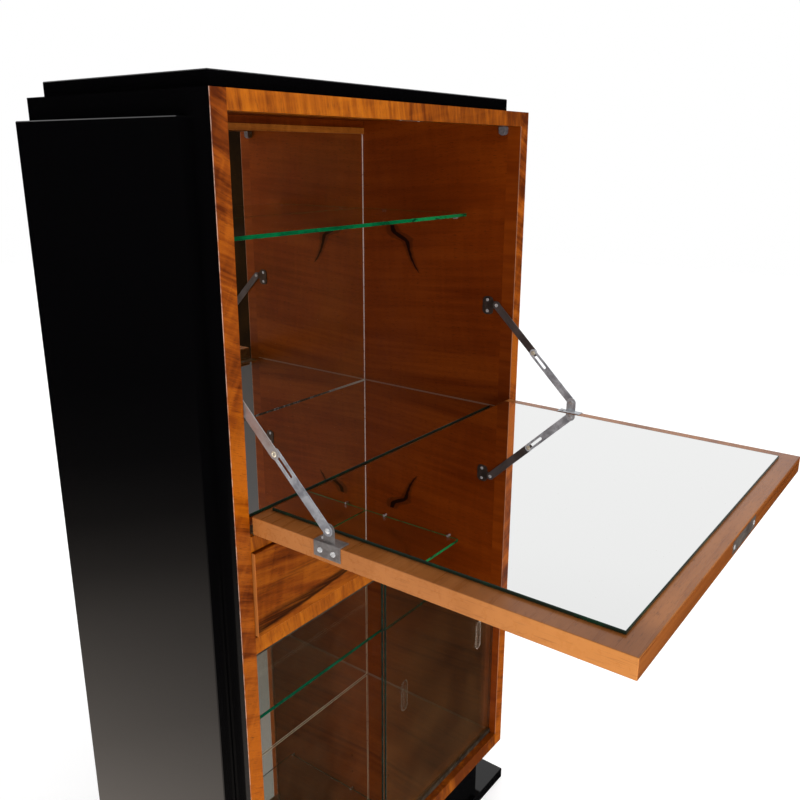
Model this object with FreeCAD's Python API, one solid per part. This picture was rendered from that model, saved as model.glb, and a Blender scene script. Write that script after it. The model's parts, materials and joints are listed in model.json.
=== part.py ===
"""Bar cabinet with a stepped black case and a walnut face frame.

The case stands on a recessed plinth and a wide foot plate. A drop-front flap closes the
bar compartment, hangs on a long hinge along its lower edge and is held level by a pair
of slotted folding stays. Under it are a drawer and a compartment behind two sliding
glass panes.

Units are millimetres. X runs across the front, +Y to the back, +Z up. The origin is the
centre of the foot plate's underside. The flap is drawn open, which is its rest position.
"""
import FreeCAD, Part
import math
import os

Vector = FreeCAD.Vector

# Case
carcass_width = 700.0
carcass_depth = 350.0
carcass_height = 1267.0
side_board_thickness = 18.0
lining_thickness = 6.0
back_panel_thickness = 4.0
top_board_thickness = 8.0
frame_depth = 25.0
wood_arris = 0.8

# Face frame, from the top down; the lower opening takes the rest of the height
top_rail_height = 23.0
flap_opening_height = 503.0
flap_rail_height = 23.0
drawer_opening_height = 123.0
drawer_rail_height = 24.0
bottom_rail_height = 29.0

# Stepped outer layers
top_slab_thickness = 21.0
top_slab_side_inset = 24.0
top_slab_setback = 29.0
outer_panel_thickness = 20.0
outer_panel_drop = 29.0
outer_panel_setback = 31.0
lacquer_arris = 1.2

# Foot
foot_plate_thickness = 22.0
foot_plate_setback = 4.0
plinth_height = 90.0
plinth_side_inset = 60.0
plinth_front_inset = 30.0
plinth_back_inset = 30.0

# Mirrors
mirror_thickness = 3.0
mirror_side_gap = 0.5
mirror_arris = 0.6
bar_floor_mirror_thickness = 5.0
bar_floor_mirror_setback = 41.0
lower_floor_mirror_thickness = 3.0
lower_floor_mirror_setback = 30.0

# Glass shelves on pins
shelf_thickness = 6.0
shelf_side_gap = 1.5
shelf_back_gap = 0.5
shelf_arris = 0.6
bar_shelf_height = 350.0
bar_shelf_setback = 103.0
bar_pin_front_inset = 22.0
lower_shelf_height = 359.0
lower_shelf_setback = 80.0
lower_pin_front_inset = 9.0
pin_back_inset = 54.0
pin_radius = 2.5
pin_reach = 8.5
pin_peg_length = 5.0
pin_fit = 0.1
pin_row_pitch = 48.0
pin_rows_below = 2

# Sliding panes and their tracks
pane_thickness = 4.0
pane_width = 355.0
pane_end_gap = 0.5
pane_arris = 0.5
track_setback = 12.7
track_flange = 2.0
track_rib = 1.8
track_side_clearance = 0.3
track_base = 2.0
lower_track_height = 8.0
upper_track_height = 14.0
pane_engagement = 8.0
pane_rest_clearance = 0.3
pull_width = 9.0
pull_height = 57.0
pull_depth = 1.5
pull_edge_distance = 60.0
pull_height_above_rail = 264.0

# Drawer
drawer_front_thickness = 20.0
drawer_front_proud = 4.5
drawer_front_side_gap = 2.0
drawer_front_gap = 1.5
drawer_side_thickness = 12.0
drawer_side_height = 98.0
drawer_back_gap = 16.0
drawer_side_inset = 4.0
drawer_bottom_thickness = 5.0
drawer_bottom_rise = 8.0
drawer_groove_depth = 5.0
drawer_groove_clearance = 0.2
drawer_run_clearance = 0.3
guide_height = 26.0
guide_back_gap = 6.0

# Flap, its mirror and the long hinge
flap_thickness = 24.5
flap_side_gap = 3.5
flap_top_gap = 2.8
flap_mirror_thickness = 4.0
flap_mirror_side_border = 28.5
flap_mirror_front_border = 24.0
flap_mirror_hinge_border = 8.0
hinge_leaf_thickness = 1.0
hinge_leaf_width = 22.0
hinge_leaf_clearance = 0.2
hinge_knuckle_radius = 2.6
hinge_pin_radius = 1.25
hinge_bore_clearance = 0.08
hinge_relief_clearance = 0.4
hinge_knuckle_count = 7
hinge_knuckle_gap = 0.3
hinge_end_inset = 2.5

# Lock in the flap and the striker in the top rail
lock_offset = 24.0
lock_plate_length = 100.0
lock_plate_height = 17.5
lock_plate_thickness = 2.0
lock_case_length = 70.0
lock_case_depth = 44.0
lock_case_thickness = 11.0
lock_fit = 0.2
bolt_width = 20.0
bolt_thickness = 6.0
bolt_length = 28.0
bolt_travel = 8.0
bolt_clearance = 0.3
key_distance = 32.0
key_hole_radius = 3.2
key_slot_width = 3.0
key_slot_length = 9.0
escutcheon_width = 18.0
escutcheon_length = 32.0
escutcheon_point = 8.0
escutcheon_thickness = 1.2
striker_length = 52.0
striker_width = 14.0
striker_thickness = 1.5
striker_slot_clearance = 1.6

# Stays: places are measured from the front plane and from the top face of the flap rail
stay_wall_pivot_back = 33.4
stay_wall_pivot_height = 195.8
stay_flap_pivot_out = 126.0
stay_flap_pivot_height = 16.6
stay_upper_arm_share = 0.5
stay_arm_width = 14.0
stay_arm_thickness = 1.7
stay_layer_gap = 0.3
stay_rivet_radius = 2.5
stay_rivet_clearance = 0.08
stay_head_radius = 5.5
stay_head_height = 1.8
stay_head_crown_share = 0.6
stay_slot_length = 33.0
stay_slot_width = 5.2
stay_wall_gap = 0.1
wall_plate_thickness = 1.7
wall_plate_width = 22.0
wall_plate_height = 33.0
wall_plate_pivot_distance = 19.0
wall_plate_drop = 2.0
wall_ear_width = 14.0
flap_bracket_length = 41.0
flap_bracket_thickness = 1.4
flap_bracket_side_height = 20.0
flap_bracket_top_width = 15.0
flap_lug_thickness = 1.7
flap_lug_width = 17.0

# Flap stops in the upper corners
stop_width = 9.0
stop_depth = 12.0
stop_height = 16.0
stop_clearance = 0.3

# One overrun for every cut
cut_over = 2.0

# Levels and planes worked out from the sizes above
front = -carcass_depth / 2
back = carcass_depth / 2
half_width = carcass_width / 2
stile_width = side_board_thickness + lining_thickness
board_half = half_width - side_board_thickness
open_half = half_width - stile_width
plate_top = foot_plate_thickness
case_bottom = plate_top + plinth_height
case_top = case_bottom + carcass_height
flap_opening_top = case_top - top_rail_height
flap_rail_top = flap_opening_top - flap_opening_height
flap_rail_bottom = flap_rail_top - flap_rail_height
drawer_rail_top = flap_rail_bottom - drawer_opening_height
drawer_rail_bottom = drawer_rail_top - drawer_rail_height
bottom_rail_top = case_bottom + bottom_rail_height
ceiling = case_top - top_board_thickness
back_panel_front = back - back_panel_thickness
mirror_face = back_panel_front - mirror_thickness
board_front = front + frame_depth

# Levels and extents of the drawer box
drawer_low = drawer_rail_top + drawer_run_clearance
drawer_panel_low = drawer_low + drawer_bottom_rise
drawer_top = drawer_low + drawer_side_height
drawer_half = open_half - drawer_side_inset
drawer_near = front - drawer_front_proud
drawer_side_near = drawer_near + drawer_front_thickness
drawer_far = back_panel_front - drawer_back_gap

# Hinge line and flap extents in the open position
hinge_offset = hinge_leaf_thickness + hinge_leaf_clearance
hinge_z = flap_rail_top + hinge_offset
flap_half = open_half - flap_side_gap
flap_inner = hinge_z + flap_thickness
flap_reach = flap_opening_height - hinge_offset - flap_top_gap
flap_tip = front - flap_reach
flap_root = front - hinge_offset

# Stay pivots in the side view, and the layers of the stay across the width
wall_pivot = (front + stay_wall_pivot_back, flap_rail_top + stay_wall_pivot_height)
flap_pivot = (front - stay_flap_pivot_out, flap_inner + stay_flap_pivot_height)
stay_reach = math.dist(wall_pivot, flap_pivot)
stay_along = (
    (flap_pivot[0] - wall_pivot[0]) / stay_reach,
    (flap_pivot[1] - wall_pivot[1]) / stay_reach,
)
upper_arm_length = stay_reach * stay_upper_arm_share
mid_pivot = (
    wall_pivot[0] + upper_arm_length * stay_along[0],
    wall_pivot[1] + upper_arm_length * stay_along[1],
)
wall_plate_inner = open_half - wall_plate_thickness
upper_arm_outer = wall_plate_inner - stay_layer_gap
upper_arm_inner = upper_arm_outer - stay_arm_thickness
slotted_arm_outer = upper_arm_inner - stay_layer_gap
slotted_arm_inner = slotted_arm_outer - stay_arm_thickness
lug_outer = slotted_arm_inner - stay_layer_gap
lug_inner = lug_outer - flap_lug_thickness


def block(x0, x1, y0, y1, z0, z1):
    """A box between two corners."""
    return Part.makeBox(x1 - x0, y1 - y0, z1 - z0, Vector(x0, y0, z0))


def wide_block(half, y0, y1, z0, z1):
    """A box centred across the width."""
    return block(-half, half, y0, y1, z0, z1)


def other_side(shape):
    """The same shape on the other side of the middle plane."""
    return shape.mirror(Vector(0, 0, 0), Vector(1, 0, 0))


def chamfered(shape, size):
    """Every edge broken by a small flat arris."""
    return shape.makeChamfer(size, shape.Edges)


def rod(radius, x0, x1, y, z):
    """A round bar along X."""
    return Part.makeCylinder(radius, x1 - x0, Vector(x0, y, z), Vector(1, 0, 0))


def rivet_head(x, y, z, outward):
    """A low rivet head with its wide face at x, narrowing towards outward."""
    crown = stay_head_radius * stay_head_crown_share
    return Part.makeCone(stay_head_radius, crown, stay_head_height, Vector(x, y, z), Vector(outward, 0, 0))


def link(start, end, width, x0, x1):
    """A flat bar with round ends between two points of the side view."""
    length = math.dist(start, end)
    along = Vector(0, (end[0] - start[0]) / length, (end[1] - start[1]) / length)
    across = Vector(0, -along.z, along.y) * (width / 2)
    first = Vector(x0, start[0], start[1])
    last = Vector(x0, end[0], end[1])
    bulge = along * (width / 2)
    edges = [
        Part.makeLine(first + across, last + across),
        Part.Arc(last + across, last + bulge, last - across).toShape(),
        Part.makeLine(last - across, first - across),
        Part.Arc(first - across, first - bulge, first + across).toShape(),
    ]
    return Part.Face(Part.Wire(edges)).extrude(Vector(x1 - x0, 0, 0))


def point_along(start, direction, distance):
    """A point of the side view at a distance from another."""
    return (start[0] + direction[0] * distance, start[1] + direction[1] * distance)


def foot_plate():
    """Wide plate on the floor, as wide as the case with its outer panels."""
    half = half_width + outer_panel_thickness
    plate = wide_block(half, front + foot_plate_setback, back, 0, plate_top)
    return chamfered(plate, lacquer_arris)


def plinth():
    """Recessed block between the foot plate and the case."""
    half = half_width + outer_panel_thickness - plinth_side_inset
    near = front + foot_plate_setback + plinth_front_inset
    return wide_block(half, near, back - plinth_back_inset, plate_top, case_bottom)


def case_board(z0, z1):
    """A board between the side boards, behind the face frame."""
    return wide_block(board_half, board_front, back_panel_front, z0, z1)


def side_board():
    """Right side board, full height."""
    return block(board_half, half_width, board_front, back, case_bottom, case_top)


def outer_panel():
    """Right stepped outer panel."""
    x1 = half_width + outer_panel_thickness
    z1 = case_top - outer_panel_drop
    panel = block(half_width, x1, front + outer_panel_setback, back, case_bottom, z1)
    return chamfered(panel, lacquer_arris)


def top_slab():
    """Slab on the case, set in at the sides and at the front."""
    half = half_width - top_slab_side_inset
    z1 = case_top + top_slab_thickness
    return chamfered(wide_block(half, front + top_slab_setback, back, case_top, z1), lacquer_arris)


def back_panel():
    """Thin back between the side boards."""
    return wide_block(board_half, back_panel_front, back, case_bottom, case_top)


def stile(z0, z1):
    """Right upright of the face frame between two levels."""
    return block(open_half, half_width, front, board_front, z0, z1)


def rail(z0, z1):
    """A rail of the face frame between the stiles."""
    return wide_block(open_half, front, board_front, z0, z1)


def top_rail():
    """Top rail with the mortise for the bolt and the bed of the striker."""
    body = rail(flap_opening_top, case_top)
    bed = striker_outline(striker_thickness)
    mortise = bolt_pocket(flap_opening_top - cut_over, flap_opening_top + bolt_travel)
    return body.cut(bed).cut(mortise)


def bolt_pocket(z0, z1):
    """The room that the thrown bolt needs in the rail and in the striker."""
    room = striker_slot_clearance
    half = bolt_width / 2 + room
    middle = front + flap_thickness / 2
    reach = bolt_thickness / 2 + room
    return block(lock_offset - half, lock_offset + half, middle - reach, middle + reach, z0, z1)


def striker_outline(thickness):
    """Plate let into the underside of the top rail."""
    half = striker_length / 2
    middle = front + flap_thickness / 2
    reach = striker_width / 2
    z1 = flap_opening_top + thickness
    x0 = lock_offset - half
    return block(x0, lock_offset + half, middle - reach, middle + reach, flap_opening_top, z1)


def striker():
    """Striker plate with its slot."""
    slot = bolt_pocket(flap_opening_top - cut_over, flap_opening_top + cut_over + striker_thickness)
    return striker_outline(striker_thickness).cut(slot)


def flap_rail():
    """Rail under the flap, relieved along its front arris for the hinge knuckles."""
    relief = hinge_knuckle_radius + hinge_relief_clearance
    groove = rod(relief, -open_half - cut_over, open_half + cut_over, front, hinge_z)
    return rail(flap_rail_bottom, flap_rail_top).cut(groove)


def lining(z0, z1, holes):
    """Right inner lining between two levels, with blind holes for pegs."""
    panel = block(open_half, board_half, board_front, mirror_face + mirror_thickness, z0, z1)
    radius = pin_radius + pin_fit
    depth = pin_peg_length + pin_fit
    for y, z in holes:
        panel = panel.cut(rod(radius, open_half - cut_over, open_half + depth, y, z))
    return panel


def pin_places(shelf_bottom, near):
    """Front and back peg centres under a shelf, in the side view."""
    z = shelf_bottom - pin_radius
    return [(near, z), (mirror_face - pin_back_inset, z)]


def upper_lining():
    """Lining of the bar compartment."""
    return lining(flap_rail_top, ceiling, bar_pin_places())


def lower_lining():
    """Lining of the glazed compartment with its columns of peg holes."""
    rows = range(pin_rows_below + 1)
    holes = [(y, z - row * pin_row_pitch) for y, z in lower_pin_places() for row in rows]
    return lining(bottom_rail_top, drawer_rail_bottom, holes)


def bar_pin_places():
    """Pegs of the bar shelf."""
    near = front + bar_shelf_setback + bar_pin_front_inset
    return pin_places(flap_rail_top + bar_shelf_height, near)


def lower_pin_places():
    """Pegs of the lower shelf."""
    near = front + lower_shelf_setback + lower_pin_front_inset
    return pin_places(bottom_rail_top + lower_shelf_height, near)


def shelf_pin(y, z):
    """Pin on the right lining, pushed into its hole and reaching under the glass."""
    return rod(pin_radius, open_half - pin_reach, open_half + pin_peg_length, y, z)


def both_sides(shapes):
    """The given pieces of the right side and their mirror images, as one group."""
    return Part.makeCompound(shapes + [other_side(shape) for shape in shapes])


def shelf_pins(places):
    """Four pins of one shelf."""
    return both_sides([shelf_pin(y, z) for y, z in places])


def glass_shelf(height, setback):
    """Glass shelf that reaches from its front edge to the back mirror."""
    half = open_half - shelf_side_gap
    far = mirror_face - shelf_back_gap
    glass = wide_block(half, front + setback, far, height, height + shelf_thickness)
    return chamfered(glass, shelf_arris)


def back_mirror(z0, z1):
    """Mirror that covers the back of a compartment."""
    half = open_half - mirror_side_gap
    glass = wide_block(half, mirror_face, back_panel_front, z0, z1)
    return chamfered(glass, mirror_arris)


def floor_mirror(z0, thickness, setback):
    """Mirror on the floor of a compartment."""
    half = open_half - mirror_side_gap
    glass = wide_block(half, front + setback, mirror_face, z0, z0 + thickness)
    return chamfered(glass, mirror_arris)


def groove_width():
    """Width of one track groove."""
    return pane_thickness + 2 * track_side_clearance


def pane_plane(index):
    """Front face of a pane: index 0 runs in the front groove, 1 in the back one."""
    first = front + track_setback + track_flange + track_side_clearance
    return first + index * (groove_width() + track_rib)


def track(z0, z1, base_z0, base_z1):
    """Double channel across the opening, closed by its base."""
    depth = 2 * track_flange + 2 * groove_width() + track_rib
    near = front + track_setback
    channel = wide_block(open_half, near, near + depth, z0, z1)
    for index in (0, 1):
        y0 = pane_plane(index) - track_side_clearance
        groove = wide_block(open_half + cut_over, y0, y0 + groove_width(), base_z0, base_z1)
        channel = channel.cut(groove)
    return channel


def lower_track():
    """Track on the bottom rail."""
    z1 = bottom_rail_top + lower_track_height
    return track(bottom_rail_top, z1, bottom_rail_top + track_base, z1 + cut_over)


def upper_track():
    """Deeper track under the drawer rail, so that a pane can be lifted out."""
    z0 = drawer_rail_bottom - upper_track_height
    return track(z0, drawer_rail_bottom, z0 - cut_over, drawer_rail_bottom - track_base)


def finger_pull(x, y):
    """Rounded recess ground into the front face of a pane."""
    radius = pull_width / 2
    z = bottom_rail_top + pull_height_above_rail
    half = pull_height / 2 - radius
    slot = block(x - radius, x + radius, y - cut_over, y + pull_depth, z - half, z + half)
    for end in (z - half, z + half):
        depth = pull_depth + cut_over
        cap = Part.makeCylinder(radius, depth, Vector(x, y - cut_over, end), Vector(0, 1, 0))
        slot = slot.fuse(cap)
    return slot.removeSplitter()


def pane(index, pull_x):
    """A pane at the right end of its groove."""
    x1 = open_half - pane_end_gap
    z0 = bottom_rail_top + track_base + pane_rest_clearance
    z1 = drawer_rail_bottom - upper_track_height + pane_engagement
    y = pane_plane(index)
    glass = chamfered(block(x1 - pane_width, x1, y, y + pane_thickness, z0, z1), pane_arris)
    return glass.cut(finger_pull(pull_x, y))


def right_pane():
    """Pane of the front groove, with its pull near the right end."""
    return pane(0, open_half - pane_end_gap - pull_edge_distance)


def left_pane():
    """Pane of the back groove, slid behind the other one, its pull near the left end."""
    return pane(1, open_half - pane_end_gap - pane_width + pull_edge_distance)


def drawer_groove():
    """The room that the bottom panel takes in the boards around it."""
    half = drawer_half - drawer_side_thickness + drawer_groove_depth
    near = drawer_side_near - drawer_groove_depth
    far = drawer_far - drawer_side_thickness + drawer_groove_depth
    top = drawer_panel_low + drawer_bottom_thickness + 2 * drawer_groove_clearance
    return wide_block(half, near, far, drawer_panel_low, top)


def drawer_front():
    """Inset front that stands proud of the face frame."""
    half = open_half - drawer_front_side_gap
    z0 = drawer_rail_top + drawer_front_gap
    z1 = flap_rail_bottom - drawer_front_gap
    board = wide_block(half, drawer_near, drawer_side_near, z0, z1)
    return chamfered(board, wood_arris).cut(drawer_groove())


def drawer_side():
    """Right side of the drawer box."""
    inner = drawer_half - drawer_side_thickness
    board = block(inner, drawer_half, drawer_side_near, drawer_far, drawer_low, drawer_top)
    return board.cut(drawer_groove())


def drawer_back():
    """Back of the drawer box, between its sides."""
    half = drawer_half - drawer_side_thickness
    near = drawer_far - drawer_side_thickness
    return wide_block(half, near, drawer_far, drawer_low, drawer_top).cut(drawer_groove())


def drawer_bottom():
    """Thin bottom panel held in the grooves."""
    gap = drawer_groove_clearance
    half = drawer_half - drawer_side_thickness + drawer_groove_depth - gap
    near = drawer_side_near - drawer_groove_depth + gap
    far = drawer_far - drawer_side_thickness + drawer_groove_depth - gap
    z0 = drawer_panel_low + gap
    return wide_block(half, near, far, z0, z0 + drawer_bottom_thickness)


def drawer_guide():
    """Right strip that keeps the drawer straight."""
    x0 = drawer_half + drawer_run_clearance
    z1 = drawer_rail_top + guide_height
    return block(x0, board_half, board_front, back_panel_front - guide_back_gap, drawer_rail_top, z1)


def knuckle_spans(first):
    """Ends of every second knuckle along the hinge, starting with the given one."""
    half = flap_half - hinge_end_inset
    pitch = 2 * half / hinge_knuckle_count
    gap = hinge_knuckle_gap / 2
    starts = [-half + pitch * index for index in range(first, hinge_knuckle_count, 2)]
    return [(start + gap, start + pitch - gap) for start in starts]


def hinge_knuckles(first):
    """The round knuckles of one leaf."""
    return [rod(hinge_knuckle_radius, x0, x1, front, hinge_z) for x0, x1 in knuckle_spans(first)]


def hinge_tabs(first, y0, y1, z0, z1):
    """The strips that tie the knuckles to their leaf."""
    return [block(x0, x1, y0, y1, z0, z1) for x0, x1 in knuckle_spans(first)]


def hinge_case_leaf():
    """Leaf on the flap rail with its knuckles and the pin."""
    half = flap_half - hinge_end_inset
    clear = hinge_knuckle_radius + hinge_knuckle_gap
    z0 = flap_rail_top
    z1 = flap_rail_top + hinge_leaf_thickness
    leaf = wide_block(half, front + clear, front + hinge_leaf_width, z0, z1)
    pin = rod(hinge_pin_radius, -half, half, front, hinge_z)
    tabs = hinge_tabs(0, front, front + clear, z0, z1)
    return leaf.multiFuse([pin] + tabs + hinge_knuckles(0)).removeSplitter()


def hinge_flap_leaf():
    """Leaf on the flap's lower edge with its bored knuckles, flap open."""
    half = flap_half - hinge_end_inset
    clear = hinge_knuckle_radius + hinge_knuckle_gap
    y0 = flap_root
    y1 = flap_root + hinge_leaf_thickness
    leaf = wide_block(half, y0, y1, hinge_z + clear, hinge_z + hinge_leaf_width)
    tabs = hinge_tabs(1, y0, y1, hinge_z, hinge_z + clear)
    body = leaf.multiFuse(tabs + hinge_knuckles(1)).removeSplitter()
    bore = hinge_pin_radius + hinge_bore_clearance
    return body.cut(rod(bore, -half - cut_over, half + cut_over, front, hinge_z))


def lock_solid(grow):
    """Lock case and face plate in the free edge of the flap, open position."""
    middle = hinge_z + flap_thickness / 2
    x = lock_offset
    half_plate = lock_plate_length / 2 + grow
    high = lock_plate_height / 2 + grow
    y1 = flap_tip + lock_plate_thickness + grow
    plate = block(x - half_plate, x + half_plate, flap_tip, y1, middle - high, middle + high)
    half_case = lock_case_length / 2 + grow
    thick = lock_case_thickness / 2 + grow
    far = flap_tip + lock_case_depth + grow
    case = block(x - half_case, x + half_case, flap_tip, far, middle - thick, middle + thick)
    return plate.fuse(case).removeSplitter()


def bolt_solid(grow, start, end):
    """Bolt bar between two depths from the flap's free edge."""
    middle = hinge_z + flap_thickness / 2
    half = bolt_width / 2 + grow
    thick = bolt_thickness / 2 + grow
    x = lock_offset
    return block(x - half, x + half, flap_tip + start, flap_tip + end, middle - thick, middle + thick)


def lock_case():
    """Lock case with the channel in which the bolt slides and the key hole."""
    channel = bolt_solid(bolt_clearance, -cut_over, bolt_length + bolt_clearance)
    return lock_solid(0).cut(channel).cut(key_way())


def key_way():
    """Key hole from the outer face of the flap up to the middle of the lock."""
    middle = hinge_z + flap_thickness / 2
    y = flap_tip + key_distance
    z0 = hinge_z - escutcheon_thickness - cut_over
    hole = Part.makeCylinder(key_hole_radius, middle - z0, Vector(lock_offset, y, z0))
    half = key_slot_width / 2
    slot = block(lock_offset - half, lock_offset + half, y, y + key_slot_length, z0, middle)
    return hole.fuse(slot).removeSplitter()


def escutcheon():
    """Plate with pointed ends round the key hole on the outer face."""
    y = flap_tip + key_distance + key_slot_length / 2
    z0 = hinge_z - escutcheon_thickness
    half = escutcheon_width / 2
    tip = escutcheon_length / 2
    shoulder = tip - escutcheon_point
    right = [(0, -tip), (half, -shoulder), (half, shoulder), (0, tip)]
    left = [(-half, shoulder), (-half, -shoulder), (0, -tip)]
    corners = [Vector(lock_offset + along, y + out, z0) for along, out in right + left]
    plate = Part.Face(Part.makePolygon(corners)).extrude(Vector(0, 0, escutcheon_thickness))
    return plate.cut(key_way())


def flap_panel():
    """Flap board with the relief of the hinge, the lock's mortise and the key hole."""
    board = wide_block(flap_half, flap_tip, flap_root, hinge_z, flap_inner)
    board = chamfered(board, wood_arris)
    relief = hinge_knuckle_radius + hinge_relief_clearance
    board = board.cut(rod(relief, -flap_half - cut_over, flap_half + cut_over, front, hinge_z))
    return board.cut(lock_solid(lock_fit)).cut(key_way())


def flap_mirror():
    """Mirror on the inner face of the flap."""
    half = flap_half - flap_mirror_side_border
    near = flap_tip + flap_mirror_front_border
    far = front - flap_mirror_hinge_border
    glass = wide_block(half, near, far, flap_inner, flap_inner + flap_mirror_thickness)
    return chamfered(glass, mirror_arris)


def rivet(y, z, x0, x1):
    """Shank between two planes with a head past the inner one."""
    shank = rod(stay_rivet_radius, x0, x1, y, z)
    return shank.fuse(rivet_head(x0, y, z, -1))


def wall_bracket():
    """Plate on the lining with the ear and the rivet that carries the upper arm."""
    y, z = wall_pivot
    plate_y = y + wall_plate_pivot_distance
    plate_z = z - wall_plate_drop
    reach = (wall_plate_height - wall_plate_width) / 2
    low = (plate_y, plate_z - reach)
    high = (plate_y, plate_z + reach)
    plate = link(low, high, wall_plate_width, wall_plate_inner, open_half)
    ear = link(wall_pivot, (plate_y, plate_z), wall_ear_width, wall_plate_inner, open_half)
    pivot = rivet(y, z, upper_arm_inner - stay_wall_gap, wall_plate_inner)
    return plate.multiFuse([ear, pivot]).removeSplitter()


def upper_arm():
    """Upper arm of the right stay, from the wall pivot to the middle pivot."""
    arm = link(wall_pivot, mid_pivot, stay_arm_width, upper_arm_inner, upper_arm_outer)
    hole = stay_rivet_radius + stay_rivet_clearance
    y, z = wall_pivot
    bore = rod(hole, upper_arm_inner - cut_over, upper_arm_outer + cut_over, y, z)
    y, z = mid_pivot
    head = rivet_head(upper_arm_outer, y, z, 1)
    return arm.cut(bore).fuse(head).removeSplitter()


def slotted_arm():
    """Lower arm with its slot; the middle rivet closes the end of the slot."""
    arm = link(mid_pivot, flap_pivot, stay_arm_width, slotted_arm_inner, slotted_arm_outer)
    slot_end = point_along(mid_pivot, stay_along, stay_slot_length)
    x0 = slotted_arm_inner - cut_over
    x1 = slotted_arm_outer + cut_over
    slot = link(mid_pivot, slot_end, stay_slot_width, x0, x1)
    y, z = flap_pivot
    bore = rod(stay_rivet_radius + stay_rivet_clearance, x0, x1, y, z)
    y, z = mid_pivot
    shank = rod(stay_slot_width / 2, slotted_arm_inner, slotted_arm_outer, y, z)
    head = rivet_head(slotted_arm_inner, y, z, -1)
    return arm.cut(slot).cut(bore).multiFuse([shank, head]).removeSplitter()


def flap_bracket():
    """Folded plate on the flap's edge with its upright lug and rivet."""
    y, z = flap_pivot
    near = y - flap_bracket_length / 2
    far = y + flap_bracket_length / 2
    top = flap_inner + flap_bracket_thickness
    side_x = flap_half + flap_bracket_thickness
    x0 = flap_half - flap_bracket_top_width
    top_leg = block(x0, side_x, near, far, flap_inner, top)
    side_z = top - flap_bracket_side_height
    side_leg = block(flap_half, side_x, near, far, side_z, top)
    half = flap_lug_width / 2
    post = block(lug_inner, lug_outer, y - half, y + half, flap_inner, z)
    crown = rod(half, lug_inner, lug_outer, y, z)
    shank = rod(stay_rivet_radius, lug_outer, slotted_arm_outer + stay_wall_gap, y, z)
    outer = rivet_head(slotted_arm_outer + stay_wall_gap, y, z, 1)
    inner = rivet_head(lug_inner, y, z, -1)
    return top_leg.multiFuse([side_leg, post, crown, shank, outer, inner]).removeSplitter()


def flap_stop():
    """Buffer with a rounded lower end on the right lining behind the closed flap."""
    y0 = front + flap_thickness + stop_clearance
    z1 = flap_opening_top
    radius = stop_depth / 2
    z0 = z1 - stop_height + radius
    x0 = open_half - stop_width
    body = block(x0, open_half, y0, y0 + stop_depth, z0, z1)
    return body.fuse(rod(radius, x0, open_half, y0 + radius, z0)).removeSplitter()


def single_nodes():
    """Pieces that occur once."""
    split = drawer_rail_bottom
    bar_shelf_z = flap_rail_top + bar_shelf_height
    lower_shelf_z = bottom_rail_top + lower_shelf_height
    return {
        "foot_plate": foot_plate(),
        "plinth": plinth(),
        "bottom_board": case_board(case_bottom, bottom_rail_top),
        "drawer_board": case_board(split, drawer_rail_top),
        "bar_floor_board": case_board(flap_rail_bottom, flap_rail_top),
        "top_board": case_board(ceiling, case_top),
        "top_slab": top_slab(),
        "back_panel": back_panel(),
        "top_rail": top_rail(),
        "flap_rail": flap_rail(),
        "drawer_rail": rail(split, drawer_rail_top),
        "bottom_rail": rail(case_bottom, bottom_rail_top),
        "bar_back_mirror": back_mirror(flap_rail_top, ceiling),
        "bar_floor_mirror": floor_mirror(
            flap_rail_top, bar_floor_mirror_thickness, bar_floor_mirror_setback
        ),
        "lower_back_mirror": back_mirror(bottom_rail_top, split),
        "lower_floor_mirror": floor_mirror(
            bottom_rail_top, lower_floor_mirror_thickness, lower_floor_mirror_setback
        ),
        "bar_shelf": glass_shelf(bar_shelf_z, bar_shelf_setback),
        "bar_shelf_pins": shelf_pins(bar_pin_places()),
        "lower_shelf": glass_shelf(lower_shelf_z, lower_shelf_setback),
        "lower_shelf_pins": shelf_pins(lower_pin_places()),
        "lower_track": lower_track(),
        "upper_track": upper_track(),
        "pane_left": left_pane(),
        "pane_right": right_pane(),
        "drawer_front": drawer_front(),
        "drawer_back": drawer_back(),
        "drawer_bottom": drawer_bottom(),
        "flap_panel": flap_panel(),
        "flap_mirror": flap_mirror(),
        "hinge_case_leaf": hinge_case_leaf(),
        "hinge_flap_leaf": hinge_flap_leaf(),
        "lock_case": lock_case(),
        "lock_bolt": bolt_solid(0, 0, bolt_length),
        "escutcheon": escutcheon(),
        "striker": striker(),
        "flap_stops": both_sides([flap_stop()]),
        "stay_wall_brackets": both_sides([wall_bracket()]),
        "stay_flap_brackets": both_sides([flap_bracket()]),
    }


def paired_nodes():
    """Pieces that occur on both sides, drawn on the right."""
    split = drawer_rail_bottom
    return {
        "side_board": side_board(),
        "outer_panel": outer_panel(),
        "upper_lining": upper_lining(),
        "lower_lining": lower_lining(),
        "stile_upper": stile(split, case_top),
        "stile_lower": stile(case_bottom, split),
        "drawer_side": drawer_side(),
        "drawer_guide": drawer_guide(),
        "stay_upper_arm": upper_arm(),
        "stay_slotted_arm": slotted_arm(),
    }


def build():
    """Write one file per piece."""
    os.makedirs("parts", exist_ok=True)
    shapes = single_nodes()
    for name, shape in paired_nodes().items():
        shapes[name + "_right"] = shape
        shapes[name + "_left"] = other_side(shape)
    for name, shape in shapes.items():
        shape.exportStep("parts/" + name + ".step")
        print(name, round(shape.Volume / 1000, 1), "cm3", shape.isValid(), len(shape.Solids))
    print(len(shapes), "pieces")


build()
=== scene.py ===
"""Looks of the bar cabinet: finishes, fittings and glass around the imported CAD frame."""

import json
import logging
import math
from abc import ABC, abstractmethod
from collections.abc import Callable, Iterable, Mapping, Sequence
from dataclasses import dataclass, field
from enum import Enum
from functools import cached_property

import bmesh
import bpy
from mathutils import Matrix, Vector


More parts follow.
